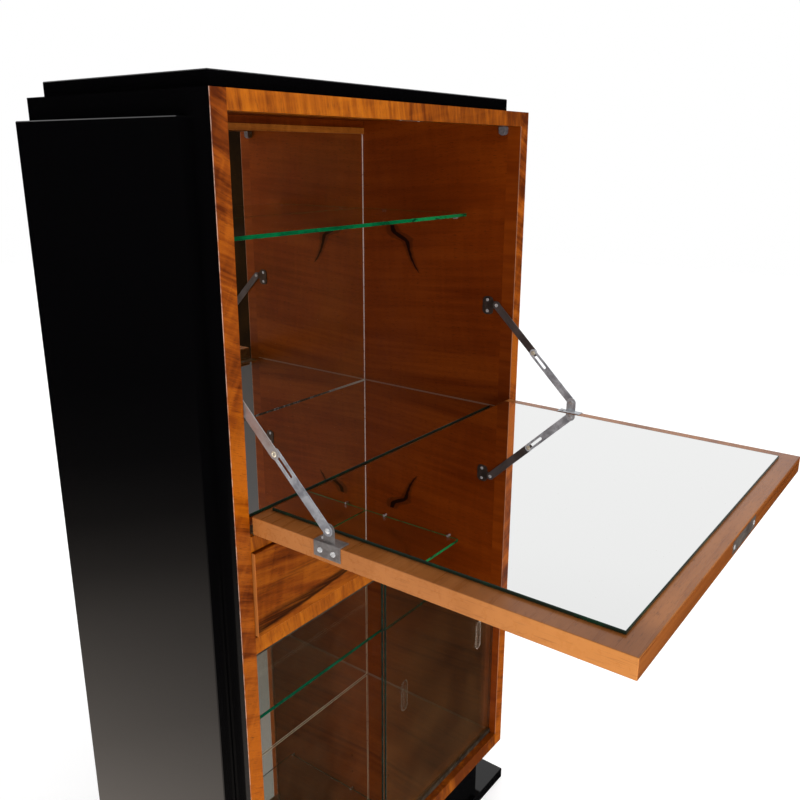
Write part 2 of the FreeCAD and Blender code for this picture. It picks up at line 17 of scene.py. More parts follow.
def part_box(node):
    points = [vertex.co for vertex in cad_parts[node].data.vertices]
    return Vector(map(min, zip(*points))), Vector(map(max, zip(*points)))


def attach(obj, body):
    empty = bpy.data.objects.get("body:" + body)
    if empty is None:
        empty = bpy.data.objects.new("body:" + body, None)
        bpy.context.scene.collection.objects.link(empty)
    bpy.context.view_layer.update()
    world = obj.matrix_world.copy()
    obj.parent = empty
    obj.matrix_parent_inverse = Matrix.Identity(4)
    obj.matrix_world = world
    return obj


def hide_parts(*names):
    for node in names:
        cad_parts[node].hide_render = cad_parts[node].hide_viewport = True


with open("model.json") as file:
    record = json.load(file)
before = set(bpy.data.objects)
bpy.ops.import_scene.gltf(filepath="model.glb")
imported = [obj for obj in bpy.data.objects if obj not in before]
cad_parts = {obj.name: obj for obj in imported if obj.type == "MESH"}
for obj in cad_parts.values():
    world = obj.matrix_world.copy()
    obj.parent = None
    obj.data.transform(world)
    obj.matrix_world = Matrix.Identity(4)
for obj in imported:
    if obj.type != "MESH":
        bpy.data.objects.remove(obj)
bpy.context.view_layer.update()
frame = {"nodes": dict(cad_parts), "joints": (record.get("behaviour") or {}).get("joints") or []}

log = logging.getLogger("bar_cabinet")

MM = 0.001
LEFT = -1
RIGHT = 1
SIDES = {LEFT: "left", RIGHT: "right"}
FORWARD, BACKWARD = Vector((0, -1, 0)), Vector((0, 1, 0))
DOWN, UP = Vector((0, 0, -1)), Vector((0, 0, 1))

Colour = tuple[float, float, float]
Spot = tuple[Vector, Vector]


class Wire:
    """A node socket that takes part in Python arithmetic."""

    def __init__(self, sheet: "NodeSheet", socket: bpy.types.NodeSocket | None) -> None:
        """Keep the socket and the sheet that it belongs to."""
        self.sheet = sheet
        self.socket = socket

    def _math(self, operation: str, *values: "Wire | float") -> "Wire":
        """Add one Math node."""
        return self.sheet.node("ShaderNodeMath", {"operation": operation}, dict(enumerate(values)))

    def __add__(self, other: "Wire | float") -> "Wire":
        """Sum."""
        return self._math("ADD", self, other)

    def __sub__(self, other: "Wire | float") -> "Wire":
        """Difference."""
        return self._math("SUBTRACT", self, other)

    def __rsub__(self, other: "Wire | float") -> "Wire":
        """Difference from a number."""
        return self._math("SUBTRACT", other, self)

    def __mul__(self, other: "Wire | float") -> "Wire":
        """Product."""
        return self._math("MULTIPLY", self, other)

    def __gt__(self, other: "Wire | float") -> "Wire":
        """1 where this is the greater one, 0 elsewhere."""
        return self._math("GREATER_THAN", self, other)

    def __lt__(self, other: "Wire | float") -> "Wire":
        """1 where this is the smaller one, 0 elsewhere."""
        return self._math("LESS_THAN", self, other)

    def __abs__(self) -> "Wire":
        """Size without the sign."""
        return self._math("ABSOLUTE", self)

    def __or__(self, other: "Wire | float") -> "Wire":
        """The larger of two."""
        return self._math("MAXIMUM", self, other)

    def root(self) -> "Wire":
        """Square root."""
        return self._math("SQRT", self)

    def ramp(self, low: float, high: float) -> "Wire":
        """A smooth step that rises from 0 at low to 1 at high, or falls where low is the greater."""
        settings = {"interpolation_type": "SMOOTHSTEP"}
        return self.sheet.node("ShaderNodeMapRange", settings, {0: self, 1: low, 2: high})


class NodeSheet:
    """The node tree of a material or of the world."""

    def __init__(self, owner: bpy.types.Material | bpy.types.World) -> None:
        """Clear the tree.

        Args:
            owner: What the tree belongs to.
        """
        owner.use_nodes = True
        self.tree = owner.node_tree
        self.tree.nodes.clear()

    def node(
        self,
        kind: str,
        settings: Mapping[str, object] | None = None,
        values: Mapping[int | str, object] | None = None,
        output: int | str = 0,
    ) -> Wire:
        """Add a node.

        Args:
            kind: The node's type.
            settings: Its own properties, and "stops" for a colour ramp.
            values: Numbers, colours or wires for its inputs.
            output: The output that the returned wire starts from.

        Returns:
            The wire of that output, a loose one behind a closing node.
        """
        made = self.tree.nodes.new(kind)
        for key, setting in (settings or {}).items():
            if key == "stops":
                self._set_stops(made.color_ramp, setting)
            else:
                setattr(made, key, setting)
        for key, value in (values or {}).items():
            if isinstance(value, Wire):
                self.tree.links.new(value.socket, made.inputs[key])
            else:
                made.inputs[key].default_value = value
        return Wire(self, made.outputs[output] if made.outputs else None)

    @staticmethod
    def _set_stops(colour_ramp: bpy.types.ColorRamp, stops: Sequence[tuple[float, Colour]]) -> None:
        """Give a colour ramp its stops.

        Args:
            colour_ramp: The ramp.
            stops: Places and colours, in order.
        """
        while len(colour_ramp.elements) < len(stops):
            colour_ramp.elements.new(1.0)
        for element, (place, colour) in zip(colour_ramp.elements, stops):
            element.position = place
            element.color = (*colour, 1.0)

    @cached_property
    def place(self) -> Wire:
        """The object coordinates."""
        return self.node("ShaderNodeTexCoord", output="Object")

    @cached_property
    def axes(self) -> tuple[Wire, Wire, Wire]:
        """The three parts of the object coordinates."""
        return self.split(self.place)

    def split(self, vector: Wire) -> tuple[Wire, Wire, Wire]:
        """The three parts of a vector."""
        outputs = self.node("ShaderNodeSeparateXYZ", values={0: vector}).socket.node.outputs
        return tuple(Wire(self, output) for output in outputs)

    def stretch(self, place: Wire, scale: Sequence[float], turn: Sequence[float] = (0, 0, 0)) -> Wire:
        """Turn a pattern and set how many of its units fill a metre along each axis.

        Args:
            place: Coordinates in metres.
            scale: Units per metre.
            turn: Rotation in degrees.

        Returns:
            The pattern's own coordinates.
        """
        angles = [math.radians(angle) for angle in turn]
        turned = self.node("ShaderNodeMapping", values={"Vector": place, "Rotation": angles})
        return self.node("ShaderNodeMapping", values={"Vector": turned, "Scale": list(scale)})

    def noise(self, scale: float | Sequence[float], detail: float = 2.0, rough: float = 0.5,
              warp: float = 0.0, turn: Sequence[float] = (0, 0, 0), place: Wire | None = None) -> Wire:
        """Smooth noise between 0 and 1.

        Args:
            scale: Lumps per metre, alike or along each axis.
            detail: Octaves.
            rough: Weight of the finer octaves.
            warp: How far the pattern distorts itself.
            turn: Rotation in degrees of a pattern with three scales.
            place: Coordinates of the pattern, the object's own if not given.

        Returns:
            The noise value.
        """
        place = place or self.place
        if not isinstance(scale, float):
            place, scale = self.stretch(place, scale, turn), 1.0
        return self.node("ShaderNodeTexNoise", values={
            "Vector": place, "Scale": scale, "Detail": detail, "Roughness": rough, "Distortion": warp})

    def colours(self, position: Wire, stops: Sequence[tuple[float, Colour]]) -> Wire:
        """Colour ramp read at a position."""
        return self.node("ShaderNodeValToRGB", {"stops": stops}, {0: position})

    def blend(self, mask: Wire | float, under: Wire | Colour, over: Wire | Colour, mode: str = "MIX") -> Wire:
        """Mix two colours, the second by the share of the mask."""
        values = {0: mask, 6: self._paint(under), 7: self._paint(over)}
        return self.node("ShaderNodeMix", {"data_type": "RGBA", "blend_type": mode}, values, 2)

    @staticmethod
    def _paint(colour: Wire | Colour) -> Wire | tuple[float, float, float, float]:
        """A colour as an input takes it."""
        return colour if isinstance(colour, Wire) else (*colour, 1.0)

    def bump(self, height: Wire, depth: float) -> Wire:
        """Normal of a surface with a fine relief of the given depth in metres."""
        return self.node("ShaderNodeBump", values={"Height": height, "Distance": depth, "Strength": 1.0})

    def shader(self, values: Mapping[str, object]) -> Wire:
        """A principled shader with the given inputs."""
        painted = {key: self._paint(value) if "Color" in key else value for key, value in values.items()}
        return self.node("ShaderNodeBsdfPrincipled", values=painted)

    def cover(self, mask: Wire, under: Wire, over: Wire) -> Wire:
        """Mix two shaders, the second by the share of the mask."""
        return self.node("ShaderNodeMixShader", values={0: mask, 1: under, 2: over})

    def close(self, shader: Wire, kind: str = "ShaderNodeOutputMaterial") -> None:
        """Lead a shader to the surface."""
        self.node(kind, values={"Surface": shader})


class Finish(ABC):
    """A finish that makes its material once."""

    name: str

    @abstractmethod
    def mix(self, sheet: NodeSheet) -> None:
        """Build the node tree on an empty sheet."""

    def material(self) -> bpy.types.Material:
        """The material, made on first use.

        Returns:
            The material.
        """
        label = self.name + "_finish"
        if label not in bpy.data.materials:
            self.mix(NodeSheet(bpy.data.materials.new(label)))
        return bpy.data.materials[label]


class Grain(Enum):
    """Rotation in degrees that lays the pattern's X axis along the grain."""

    ACROSS = (0.0, 0.0, 0.0)
    DEEP = (0.0, 0.0, -90.0)
    UPRIGHT = (0.0, 90.0, 0.0)


BLACK: Colour = (0.0012, 0.0011, 0.0013)
NOTHING: Colour = (0.0, 0.0, 0.0)
WHITE: Colour = (1.0, 1.0, 1.0)


@dataclass(frozen=True)
class Lacquer(Finish):
    """High-gloss black lacquer with a faint swell and fine dust."""

    name: str = "black_lacquer"
    speck: Colour = (0.03, 0.03, 0.03)
    swell: float = 0.03 * MM

    def mix(self, sheet: NodeSheet) -> None:
        """Near-black coat over a rubbed ground.

        Args:
            sheet: The empty sheet.
        """
        specks = sheet.noise(900.0, 1.0).ramp(0.76, 0.82)
        sheet.close(sheet.shader({
            "Base Color": sheet.blend(specks * 0.4, BLACK, self.speck),
            "Roughness": sheet.noise(6.0, 3.0) * 0.04 + 0.03 + specks * 0.1,
            "IOR": 1.5,
            "Normal": sheet.bump(sheet.noise(30.0), self.swell),
        }))


@dataclass(frozen=True)
class Tones:
    """The three tones that a wood runs through."""

    pale: Colour
    warm: Colour
    deep: Colour

    def stops(self) -> list[tuple[float, Colour]]:
        """Ramp from the deep tone to the pale one."""
        golden = tuple((a + b) / 2 for a, b in zip(self.warm, self.pale))
        return [(0.10, self.deep), (0.42, self.warm), (0.62, golden), (0.92, self.pale)]


@dataclass
class Surface:
    """Colour and roughness of a wood, as painted so far."""

    sheet: NodeSheet
    colour: Wire
    rough: Wire

    def paint(self, mask: Wire, over: Wire | Colour) -> None:
        """Lay a colour over the wood."""
        self.colour = self.sheet.blend(mask, self.colour, over)


@dataclass(frozen=True)
class Veneer(Finish):
    """Walnut with figure, streaks, pores and a rubbed polish."""

    name: str
    tones: Tones
    grain: Grain = Grain.ACROSS
    tilt: tuple[float, float, float] = (0.0, 0.0, 0.0)
    figure: float = 9.0
    streaks: float = 90.0
    contrast: float = 1.0
    ripple: float = 0.5
    gloss: float = 0.30
    shine: float = 0.12
    coat: float = 0.05

    def mix(self, sheet: NodeSheet) -> None:
        """Figure and grain in the chosen direction.

        Args:
            sheet: The empty sheet.
        """
        lay = self.lay(sheet)
        fine = sheet.noise((self.streaks * 0.05, self.streaks, self.streaks), 4.0, 0.6, 0.3, place=lay)
        bands = sheet.noise((self.figure * 0.14, self.figure, self.figure), 3.0, 0.55, 0.7, place=lay)
        glow = sheet.noise((55.0, 9.0, 9.0), warp=1.0, place=lay)
        pores = sheet.noise((90.0, 1300.0, 1300.0), place=lay).ramp(0.58, 0.72)
        tone = (bands - 0.5) * (1.6 * self.contrast) + (fine - 0.5) * (0.9 * self.contrast)
        tone = tone + (glow - 0.5) * self.ripple + (sheet.noise(4.0, place=lay) - 0.5) * 0.5 + 0.5
        colour = sheet.colours(tone + self.shift(sheet, lay), self.tones.stops())
        shadow = tuple(part * 0.35 for part in self.tones.deep)
        surface = Surface(sheet, sheet.blend(pores * 0.6, colour, shadow),
                          fine * 0.10 + pores * 0.10 + (self.gloss - 0.05))
        self.detail(surface)
        sheet.close(sheet.shader({
            "Base Color": surface.colour,
            "Roughness": surface.rough,
            "Specular IOR Level": self.shine,
            "Coat Weight": self.coat,
            "Coat Roughness": 0.12,
            "Normal": sheet.bump(fine * 0.3 - pores, 0.03 * MM),
        }))

    def lay(self, sheet: NodeSheet) -> Wire:
        """Coordinates with X along the grain."""
        return self.turned(sheet, sheet.place)

    def turned(self, sheet: NodeSheet, place: Wire) -> Wire:
        """Turn coordinates along the grain."""
        turn = [a + b for a, b in zip(self.grain.value, self.tilt)]
        return sheet.stretch(place, (1.0, 1.0, 1.0), turn)

    def shift(self, sheet: NodeSheet, lay: Wire) -> Wire | float:
        """How much paler than the plain wood each place is."""
        return 0.0

    def detail(self, surface: Surface) -> None:
        """Paint what this piece of wood has besides its grain."""


@dataclass(frozen=True)
class FrameVeneer(Veneer):
    """Veneer of the face frame, black on its outer sides and worn along the arris, with painted highlights on
    the stiles and painted bounce light on the backs of the rails.
    """

    joint: float = 964 * MM
    joint_rise: float = 0.35
    joint_reach: float = 338 * MM
    leap: tuple[float, float] = (310 * MM, 170 * MM)
    right_shade: float = 0.0
    right_from: float = 11 * MM
    shade_reach: float = 60 * MM
    streak_half: float = 8 * MM
    painted_highlight: float = 0.0
    highlight_band: tuple[float, float, float, float] = (876 * MM, 935 * MM, 965 * MM, 1045 * MM)
    highlight_foot: tuple[float, float] = (690 * MM, 680 * MM)
    reveal: bool = False
    reveal_width: float = 23.2 * MM
    skin: float = 0.35 * MM
    worn_width: float = 0.9 * MM
    worn_tone: Colour = (0.55, 0.36, 0.28)
    arris_tone: Colour = (0.50, 0.30, 0.20)
    bounce_light_tone: Colour = (0.55, 0.26, 0.10)

    def lay(self, sheet: NodeSheet) -> Wire:
        """Grain that starts afresh at the scarf joint.

        Args:
            sheet: The sheet.

        Returns:
            Coordinates with X along the grain.
        """
        x, _, z = sheet.axes
        above = z - abs(x) * self.joint_rise > self.joint - self.joint_reach * self.joint_rise
        leap = sheet.node("ShaderNodeCombineXYZ", values={0: above * self.leap[0], 2: above * self.leap[1]})
        moved = sheet.node("ShaderNodeVectorMath", {"operation": "ADD"}, {0: sheet.place, 1: leap})
        return self.turned(sheet, moved)

    def shift(self, sheet: NodeSheet, lay: Wire) -> Wire:
        """A darker right leaf behind a dark streak, and two lengths made paler as painted highlights.

        Args:
            sheet: The sheet.
            lay: Coordinates along the grain; not used here.

        Returns:
            How much paler each place is.
        """
        x, _, z = sheet.axes
        start, full, fading, end = self.highlight_band
        shade = x.ramp(self.right_from, self.right_from + self.shade_reach) * self.right_shade
        streak = abs(x - self.right_from).ramp(self.streak_half, 0.0) * self.right_shade * 1.2
        # Painted highlight: two lengths of the stiles are made paler where they catch reflected light.
        glow = z.ramp(start, full) * z.ramp(end, fading) * 2.0 | z.ramp(*self.highlight_foot)
        return glow * self.painted_highlight - shade - streak

    def detail(self, surface: Surface) -> None:
        """Black sides, a pale arris and an inner side like the wall, and on the rails a back face made paler
        as painted bounce light.

        Args:
            surface: The wood's surface.
        """
        sheet = surface.sheet
        x, y, z = sheet.axes
        low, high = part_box("stile_lower_right")[0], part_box("stile_upper_right")[1]
        side = abs(x)
        outer = (side > high.x - self.skin) | (z > high.z - self.skin) | (z < low.z + self.skin)
        outer = outer * (y > low.y + self.skin)
        worn = sheet.noise(90.0, 3.0).ramp(0.40, 0.60) * 0.45 + 0.15
        surface.paint((side > high.x - self.worn_width) * worn, self.worn_tone)
        if self.reveal:
            figure = sheet.noise((60.0, 6.0, 60.0), 3.0, 0.6)
            surface.paint(y > low.y + MM, sheet.colours(figure, WALL.stops()))
            arris = (x > 0.0) * (side < high.x - self.reveal_width) * (y < low.y + MM)
            for rail in Case.rails:
                under, over = (corner.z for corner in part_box(rail))
                arris = arris * (abs(z - (under + over) / 2) > (over - under) / 2)
            surface.paint(arris * 0.35, self.arris_tone)
        else:
            # Painted light: the rails' back faces are made paler, as if lit by light thrown up from the
            # flap's mirror.
            surface.paint(y > high.y - self.skin, self.bounce_light_tone)
        surface.paint(outer, BLACK)
        surface.rough = surface.rough * (1 - outer) + outer * 0.06


@dataclass(frozen=True)
class DrawerVeneer(Veneer):
    """Veneer of the drawer front with a bundle of dark lines that runs along it."""

    start: tuple[float, float] = (-327 * MM, 713 * MM)
    rise: float = 0.085
    line_tone: Colour = (0.018, 0.005, 0.001)
    end_width: float = 0.4 * MM
    end_tone: Colour = (0.40, 0.13, 0.03)

    def detail(self, surface: Surface) -> None:
        """The bundle, darkest at its lower side, a soft band higher up and flecks below.

        Args:
            surface: The wood's surface.
        """
        sheet = surface.sheet
        x, _, z = sheet.axes
        low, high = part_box("drawer_front")
        sway = sheet.noise((6.0, 6.0, 9.0)) - 0.5
        level = z - x * self.rise - sway * 0.012 - (self.start[1] - self.start[0] * self.rise)
        narrow = x.ramp(self.start[0], -0.10) * 0.55 + 0.45
        threads = sheet.noise((6.0, 6.0, 420.0), 4.0, 0.65, 0.3, (0, -5, 0))
        height = level * (narrow * 2.2)
        bundle = height.ramp(-0.003, 0.002) * height.ramp(0.027, 0.014)
        bundle = bundle * (threads.ramp(0.36, 0.58) * 0.55 + 0.35)
        core = abs(height - 0.004).ramp(0.0045, 0.0010) * threads.ramp(0.30, 0.48)
        band = abs(level - 0.055).ramp(0.012, 0.0) * threads.ramp(0.40, 0.62) * 0.45
        flecks = sheet.noise((26.0, 26.0, 300.0), 1.0, turn=(0, -8, 0)).ramp(0.70, 0.78)
        flecks = flecks * height.ramp(0.0, -0.010) * 0.7
        surface.paint(bundle | core * 0.95 | band | flecks, self.line_tone)
        ends = (x < low.x + self.end_width) | (x > high.x - self.end_width)
        surface.paint(ends * 0.85, self.end_tone)


@dataclass(frozen=True)
class LiningVeneer(Veneer):
    """Veneer of an inner wall with a natural dark crack in its figure.

    The crack is a row of levels, depths and half widths in millimetres. The foot levels are
    the upper faces of the floor mirrors and the heights of the pale lines along them.
    """

    crack: Sequence[tuple[float, float, float]] = (
        (1092, 33, 0.6), (1098, 38, 2.6), (1114, 49, 3.4), (1133, 57, 4.0), (1150, 62, 5.5),
        (1156, 73, 10.0), (1163, 86, 9.5), (1168, 95, 7.0), (1181, 99, 5.5))
    crack_tone: Colour = (0.005, 0.0015, 0.0004)
    depth_scale: float = 200.0
    half_scale: float = 20.0
    golden_level: float = 947 * MM
    foot_levels: Sequence[tuple[float, float]] = ((858 * MM, 1.4 * MM), (144 * MM, 2.8 * MM))
    foot_tone: Colour = (0.34, 0.25, 0.18)

    def shift(self, sheet: NodeSheet, lay: Wire) -> Wire:
        """Lighter and more striped low down.

        Args:
            sheet: The sheet.
            lay: Coordinates along the grain.

        Returns:
            How much paler each place is.
        """
        wavy = sheet.axes[2] + (sheet.noise(5.0, place=lay) - 0.5) * 0.02
        bands = sheet.noise((2.0, 75.0, 75.0), 3.0, 0.6, turn=(0, 0, 1), place=lay) - 0.5
        return wavy.ramp(self.golden_level + 6 * MM, self.golden_level) * (bands * 1.3 + 0.22)

    def detail(self, surface: Surface) -> None:
        """The crack with a faint shadow beside it, and pale lines along the floor mirrors.

        Args:
            surface: The wood's surface.
        """
        sheet = surface.sheet
        _, y, z = sheet.axes
        bottom, top = self.crack[0][0], self.crack[-1][0]
        along = (z * 1000 - bottom) * (1 / (top - bottom))
        path = [((level - bottom) / (top - bottom), (depth / self.depth_scale, half / self.half_scale, 0.0))
                for level, depth, half in self.crack]
        centre, width, _ = sheet.split(sheet.colours(along, path))
        wobble = (sheet.noise(110.0, 3.0) - 0.5) * 4.0
        gap = abs(y * 1000 - centre * self.depth_scale + wobble)
        half = width * self.half_scale
        inside = (along > 0.0) * along.ramp(1.02, 0.97)
        dark = (half - gap).ramp(-1.6, 2.2) * inside
        shadow = (half * 3.0 - gap).ramp(0.0, 7.0) * inside * 0.45
        for level, height in self.foot_levels:
            surface.paint((z > level) * (z < level + height) * 0.7, self.foot_tone)
        surface.paint(dark * 0.96 | shadow, self.crack_tone)
        surface.rough = surface.rough + dark * 0.4


@dataclass(frozen=True)
class FlapVeneer(Veneer):
    """Veneer of the flap, with a richer outer face, a free edge darkened by painted shade, a painted
    highlight along its ends and pores along its ends.
    """

    skin: float = 0.6 * MM
    shaded_edge_tones: Sequence[tuple[float, Colour]] = (
        (0.2, (0.10, 0.022, 0.004)), (0.5, (0.24, 0.062, 0.009)), (0.8, (0.38, 0.12, 0.02)))
    end_tone: Colour = (0.37, 0.13, 0.034)
    end_highlight: Colour = (0.70, 0.27, 0.05)
    border_tone: Colour = (0.10, 0.028, 0.005)
    pore_tone: Colour = (0.12, 0.03, 0.005)

    def detail(self, surface: Surface) -> None:
        """Figure of the outer face, a darker top border, painted shade on the free edge, and a painted
        highlight and hairlines on the end faces.

        Args:
            surface: The wood's surface.
        """
        sheet = surface.sheet
        x, y, z = sheet.axes
        low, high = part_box("flap_panel")
        figure = sheet.noise((3.0, 16.0, 16.0), 4.0, 0.6, 0.8, (0, 0, 7))
        surface.paint(z < low.z + 0.5 * MM, sheet.colours(figure, FRONT.stops()))
        # Painted shade: the free edge is darkened, with streaks along it.
        streaks = sheet.noise((4.0, 4.0, 260.0), 4.0, 0.7)
        shaded_free_edge = (y < low.y + self.skin) * (z < high.z - 1.5 * MM)
        surface.paint(shaded_free_edge * 0.85, sheet.colours(streaks, self.shaded_edge_tones))
        pores = sheet.noise((30.0, 30.0, 900.0)).ramp(0.60, 0.70)
        ends = abs(x) > high.x - self.skin
        surface.paint(ends * 0.55, self.end_tone)
        # Painted highlight: the end faces grow paler towards the free edge.
        surface.paint(ends * y.ramp(-0.42, -0.66) * 0.35, self.end_highlight)
        surface.paint((z > high.z - 0.4 * MM) * x.ramp(-0.24, -0.29) * 0.5, self.border_tone)
        surface.paint(ends * pores * 0.35, self.pore_tone)


@dataclass(frozen=True)
class Slab:
    """The corners of a flat plate."""

    low: Vector
    high: Vector
    thickest: float = 20 * MM

    def rim(self, sheet: NodeSheet, width: float, sides: Sequence[int] = (0, 1, 2)) -> Wire:
        """Mask the border of the plate's faces.

        Args:
            sheet: The sheet.
            width: Width of the border in metres.
            sides: Axes whose edges count, apart from the one through the thickness.

        Returns:
            1 within the border, 0 inside.
        """
        masks = [abs(axis - (low + high) / 2) > (high - low) / 2 - width
                 for side, (axis, low, high) in enumerate(zip(sheet.axes, self.low, self.high))
                 if high - low > self.thickest and side in sides]
        return masks[0] | masks[-1]


@dataclass(frozen=True)
class Silver(Finish):
    """Silvered mirror glass with a dark ground edge with painted glints, pale worn lines along its border, a
    foot with a painted highlight, and dust.

    The dust is a weak emission, painted light in place of the light that lit dust scatters, so that it
    doesn't turn to grain in a mirror.
    """

    name: str
    slab: Slab
    tint: Colour = (0.95, 0.955, 0.95)
    edge: Colour = (0.004, 0.018, 0.012)
    edge_glint: Colour = (0.0, 0.04, 0.018)
    edge_width: float = 0.6 * MM
    lines: Sequence[tuple[float, float]] = ()
    line_sides: Sequence[int] = (0, 1, 2)
    line: Colour = (0.62, 0.50, 0.42)
    foot: float = 0.0
    foot_dark: Colour = (0.006, 0.008, 0.005)
    foot_highlight: Colour = (0.36, 0.33, 0.28)
    dust_glow: float = 0.002
    dust_glow_tint: Colour = (0.50, 0.29, 0.14)
    dust_light: float = 0.35
    dust_peak: float = 1.5

    def mix(self, sheet: NodeSheet) -> None:
        """Bright metal with a rim along the glass edge.

        Args:
            sheet: The empty sheet.
        """
        x, _, z = sheet.axes
        specks = sheet.noise(420.0, 1.0).ramp(0.78, 0.82)
        cloud = sheet.noise(14.0, 4.0, 0.65).ramp(0.3, 0.75)
        worn = sheet.noise(260.0, 3.0, 0.7).ramp(0.30, 0.46) * 0.8
        rim = self.slab.rim(sheet, self.edge_width)
        pale = rim * 0.0
        for near, far in self.lines:
            outer = self.slab.rim(sheet, far, self.line_sides)
            pale = pale | outer * (1 - self.slab.rim(sheet, near, self.line_sides))
        pale = pale * worn
        # The foot is a dark non-metal strip that turns pale towards the right end as a painted highlight.
        foot = (z < self.foot) * (worn + 0.2)
        foot_tone = sheet.blend(x.ramp(0.17, 0.32), self.foot_dark, self.foot_highlight)
        tint = sheet.blend(foot, sheet.blend(specks * 0.4 | pale, self.tint, self.line), foot_tone)
        pale = pale | foot
        # Painted glints: the green ground edge brightens in patches.
        wave = sheet.noise(26.0, 4.0, 0.7).ramp(0.52, 0.60) * 0.7
        # Painted light: the dust glows by a weak emission, as bright as lit dust would look.
        glow_share = (cloud + 0.5) * (1 - rim) * (1 / self.dust_peak)
        sheet.close(sheet.shader({
            "Base Color": sheet.blend(rim, tint, sheet.blend(wave, self.edge, self.edge_glint)),
            "Metallic": (1 - rim) * (1 - pale),
            "Roughness": rim * 0.2 + specks * 0.2 + pale * 0.3 + 0.003,
            "Emission Color": sheet.blend(glow_share, NOTHING, self.dust_glow_tint),
            "Emission Strength": self.dust_glow * self.dust_light * self.dust_peak,
        }))


@dataclass(frozen=True)
class Glass(Finish):
    """Float glass whose edges gather green light, painted brighter in patches and towards one side, with a
    little dust that glows with painted light, and perhaps a ground pull.
    """

    name: str
    slab: Slab
    tint: Colour = (0.96, 0.99, 0.97)
    edge: Colour = (0.0, 0.035, 0.012)
    glow: Colour = (0.0, 0.16, 0.05)
    edge_width: float = 0.4 * MM
    highlight_from: float = 0.10
    dust_glow: float = 0.003
    dust_glow_tint: Colour = (0.62, 0.27, 0.08)
    dust_light: float = 0.6
    dust_peak: float = 1.82
    pull: tuple[float, float] | None = None
    pull_half: tuple[float, float] = (9.0 * MM, 30.0 * MM)
    pull_tone: Colour = (0.62, 0.50, 0.40)
    pull_outline: float = 1.6 * MM

    def mix(self, sheet: NodeSheet) -> None:
        """Clear faces, green edges, and a ground pull where there is one.

        Args:
            sheet: The empty sheet.
        """
        x, _, z = sheet.axes
        cloud = sheet.noise(7.0, 4.0, 0.6)
        # Painted light: the dust glows by a weak emission, as bright as lit dust would look.
        glow_share = (cloud.ramp(0.2, 0.8) + 0.3) * (z.ramp(0.68, 0.30) + 0.4) * (1 / self.dust_peak)
        faces = sheet.shader({
            "Base Color": self.tint, "Roughness": cloud * 0.01, "IOR": 1.5, "Transmission Weight": 1.0,
            "Emission Color": sheet.blend(glow_share, NOTHING, self.dust_glow_tint),
            "Emission Strength": self.dust_glow * self.dust_light * self.dust_peak})
        if self.pull:
            etched = sheet.shader({"Base Color": self.pull_tone, "Roughness": 0.8, "Specular IOR Level": 0.0})
            faces = sheet.cover(self._ground(sheet), faces, etched)
        # Painted light: the green edges are brighter in patches and brightest towards one side.
        wave = sheet.noise((30.0, 30.0, 90.0), 3.0, 0.6, 0.5)
        edge_highlight = wave.ramp(0.34, 0.5) * x.ramp(self.highlight_from, self.highlight_from + 0.1)
        lit = wave.ramp(0.38, 0.66) * 0.45 + 0.12 + edge_highlight
        green = sheet.shader({
            "Base Color": sheet.blend(lit, self.edge, self.glow), "Roughness": cloud * 0.1 + 0.1})
        sheet.close(sheet.cover(self.slab.rim(sheet, self.edge_width), faces, green))

    def _ground(self, sheet: NodeSheet) -> Wire:
        """Light that the ground pull scatters.

        Args:
            sheet: The sheet.

        Returns:
            Its share, greatest along the outline.
        """
        x, _, z = sheet.axes
        half, tall = self.pull_half
        length = abs(z - self.pull[1]) - (tall - half) | 0.0
        across = x - self.pull[0]
        reach = (across * across + length * length).root()
        inside = reach < half
        return inside * 0.05 + (reach > half - self.pull_outline) * inside * 0.24


@dataclass(frozen=True)
class Metal(Finish):
    """Rolled or plated metal with dulled patches and fine scratches."""

    name: str
    colour: Colour
    dulled: Colour
    rough: float
    patches: float = 45.0
    metallic: float = 0.7
    scratches: float = 300.0

    def mix(self, sheet: NodeSheet) -> None:
        """Two tones of metal.

        Args:
            sheet: The empty sheet.
        """
        cloud = sheet.noise(self.patches, 4.0, 0.65, 0.5)
        scratches = sheet.noise((self.scratches,) * 3, 2.0, 0.6)
        sheet.close(sheet.shader({
            "Base Color": sheet.blend(cloud.ramp(0.35, 0.68), self.colour, self.dulled),
            "Metallic": self.metallic,
            "Roughness": cloud * 0.2 + scratches * 0.12 + (self.rough - 0.14),
            "Normal": sheet.bump(scratches, 0.02 * MM),
        }))


@dataclass(frozen=True)
class Plain(Finish):
    """Rubber or raw board with a fine mottle."""

    name: str
    colour: Colour
    dark: Colour
    rough: float
    mottle: tuple[float, float, float]

    def mix(self, sheet: NodeSheet) -> None:
        """Mottled colour with a matt surface.

        Args:
            sheet: The empty sheet.
        """
        mottle = sheet.noise(self.mottle, 4.0, 0.6)
        sheet.close(sheet.shader({
            "Base Color": sheet.blend(mottle.ramp(0.35, 0.65), self.dark, self.colour),
            "Roughness": mottle * 0.15 + (self.rough - 0.07),
            "Normal": sheet.bump(mottle, 0.05 * MM),
        }))


RAIL = Tones((0.42, 0.115, 0.002), (0.26, 0.060, 0.001), (0.11, 0.020, 0.0006))
STILE = Tones((0.34, 0.080, 0.002), (0.19, 0.037, 0.001), (0.075, 0.012, 0.0006))
FRONT = Tones((0.31, 0.078, 0.002), (0.165, 0.032, 0.001), (0.065, 0.011, 0.0005))
WALL = Tones((0.24, 0.044, 0.0024), (0.145, 0.022, 0.001), (0.08, 0.010, 0.0004))
LATH = Tones((0.60, 0.20, 0.030), (0.42, 0.125, 0.016), (0.26, 0.07, 0.008))
FLAP = Tones((0.43, 0.160, 0.043), (0.29, 0.095, 0.019), (0.16, 0.040, 0.006))

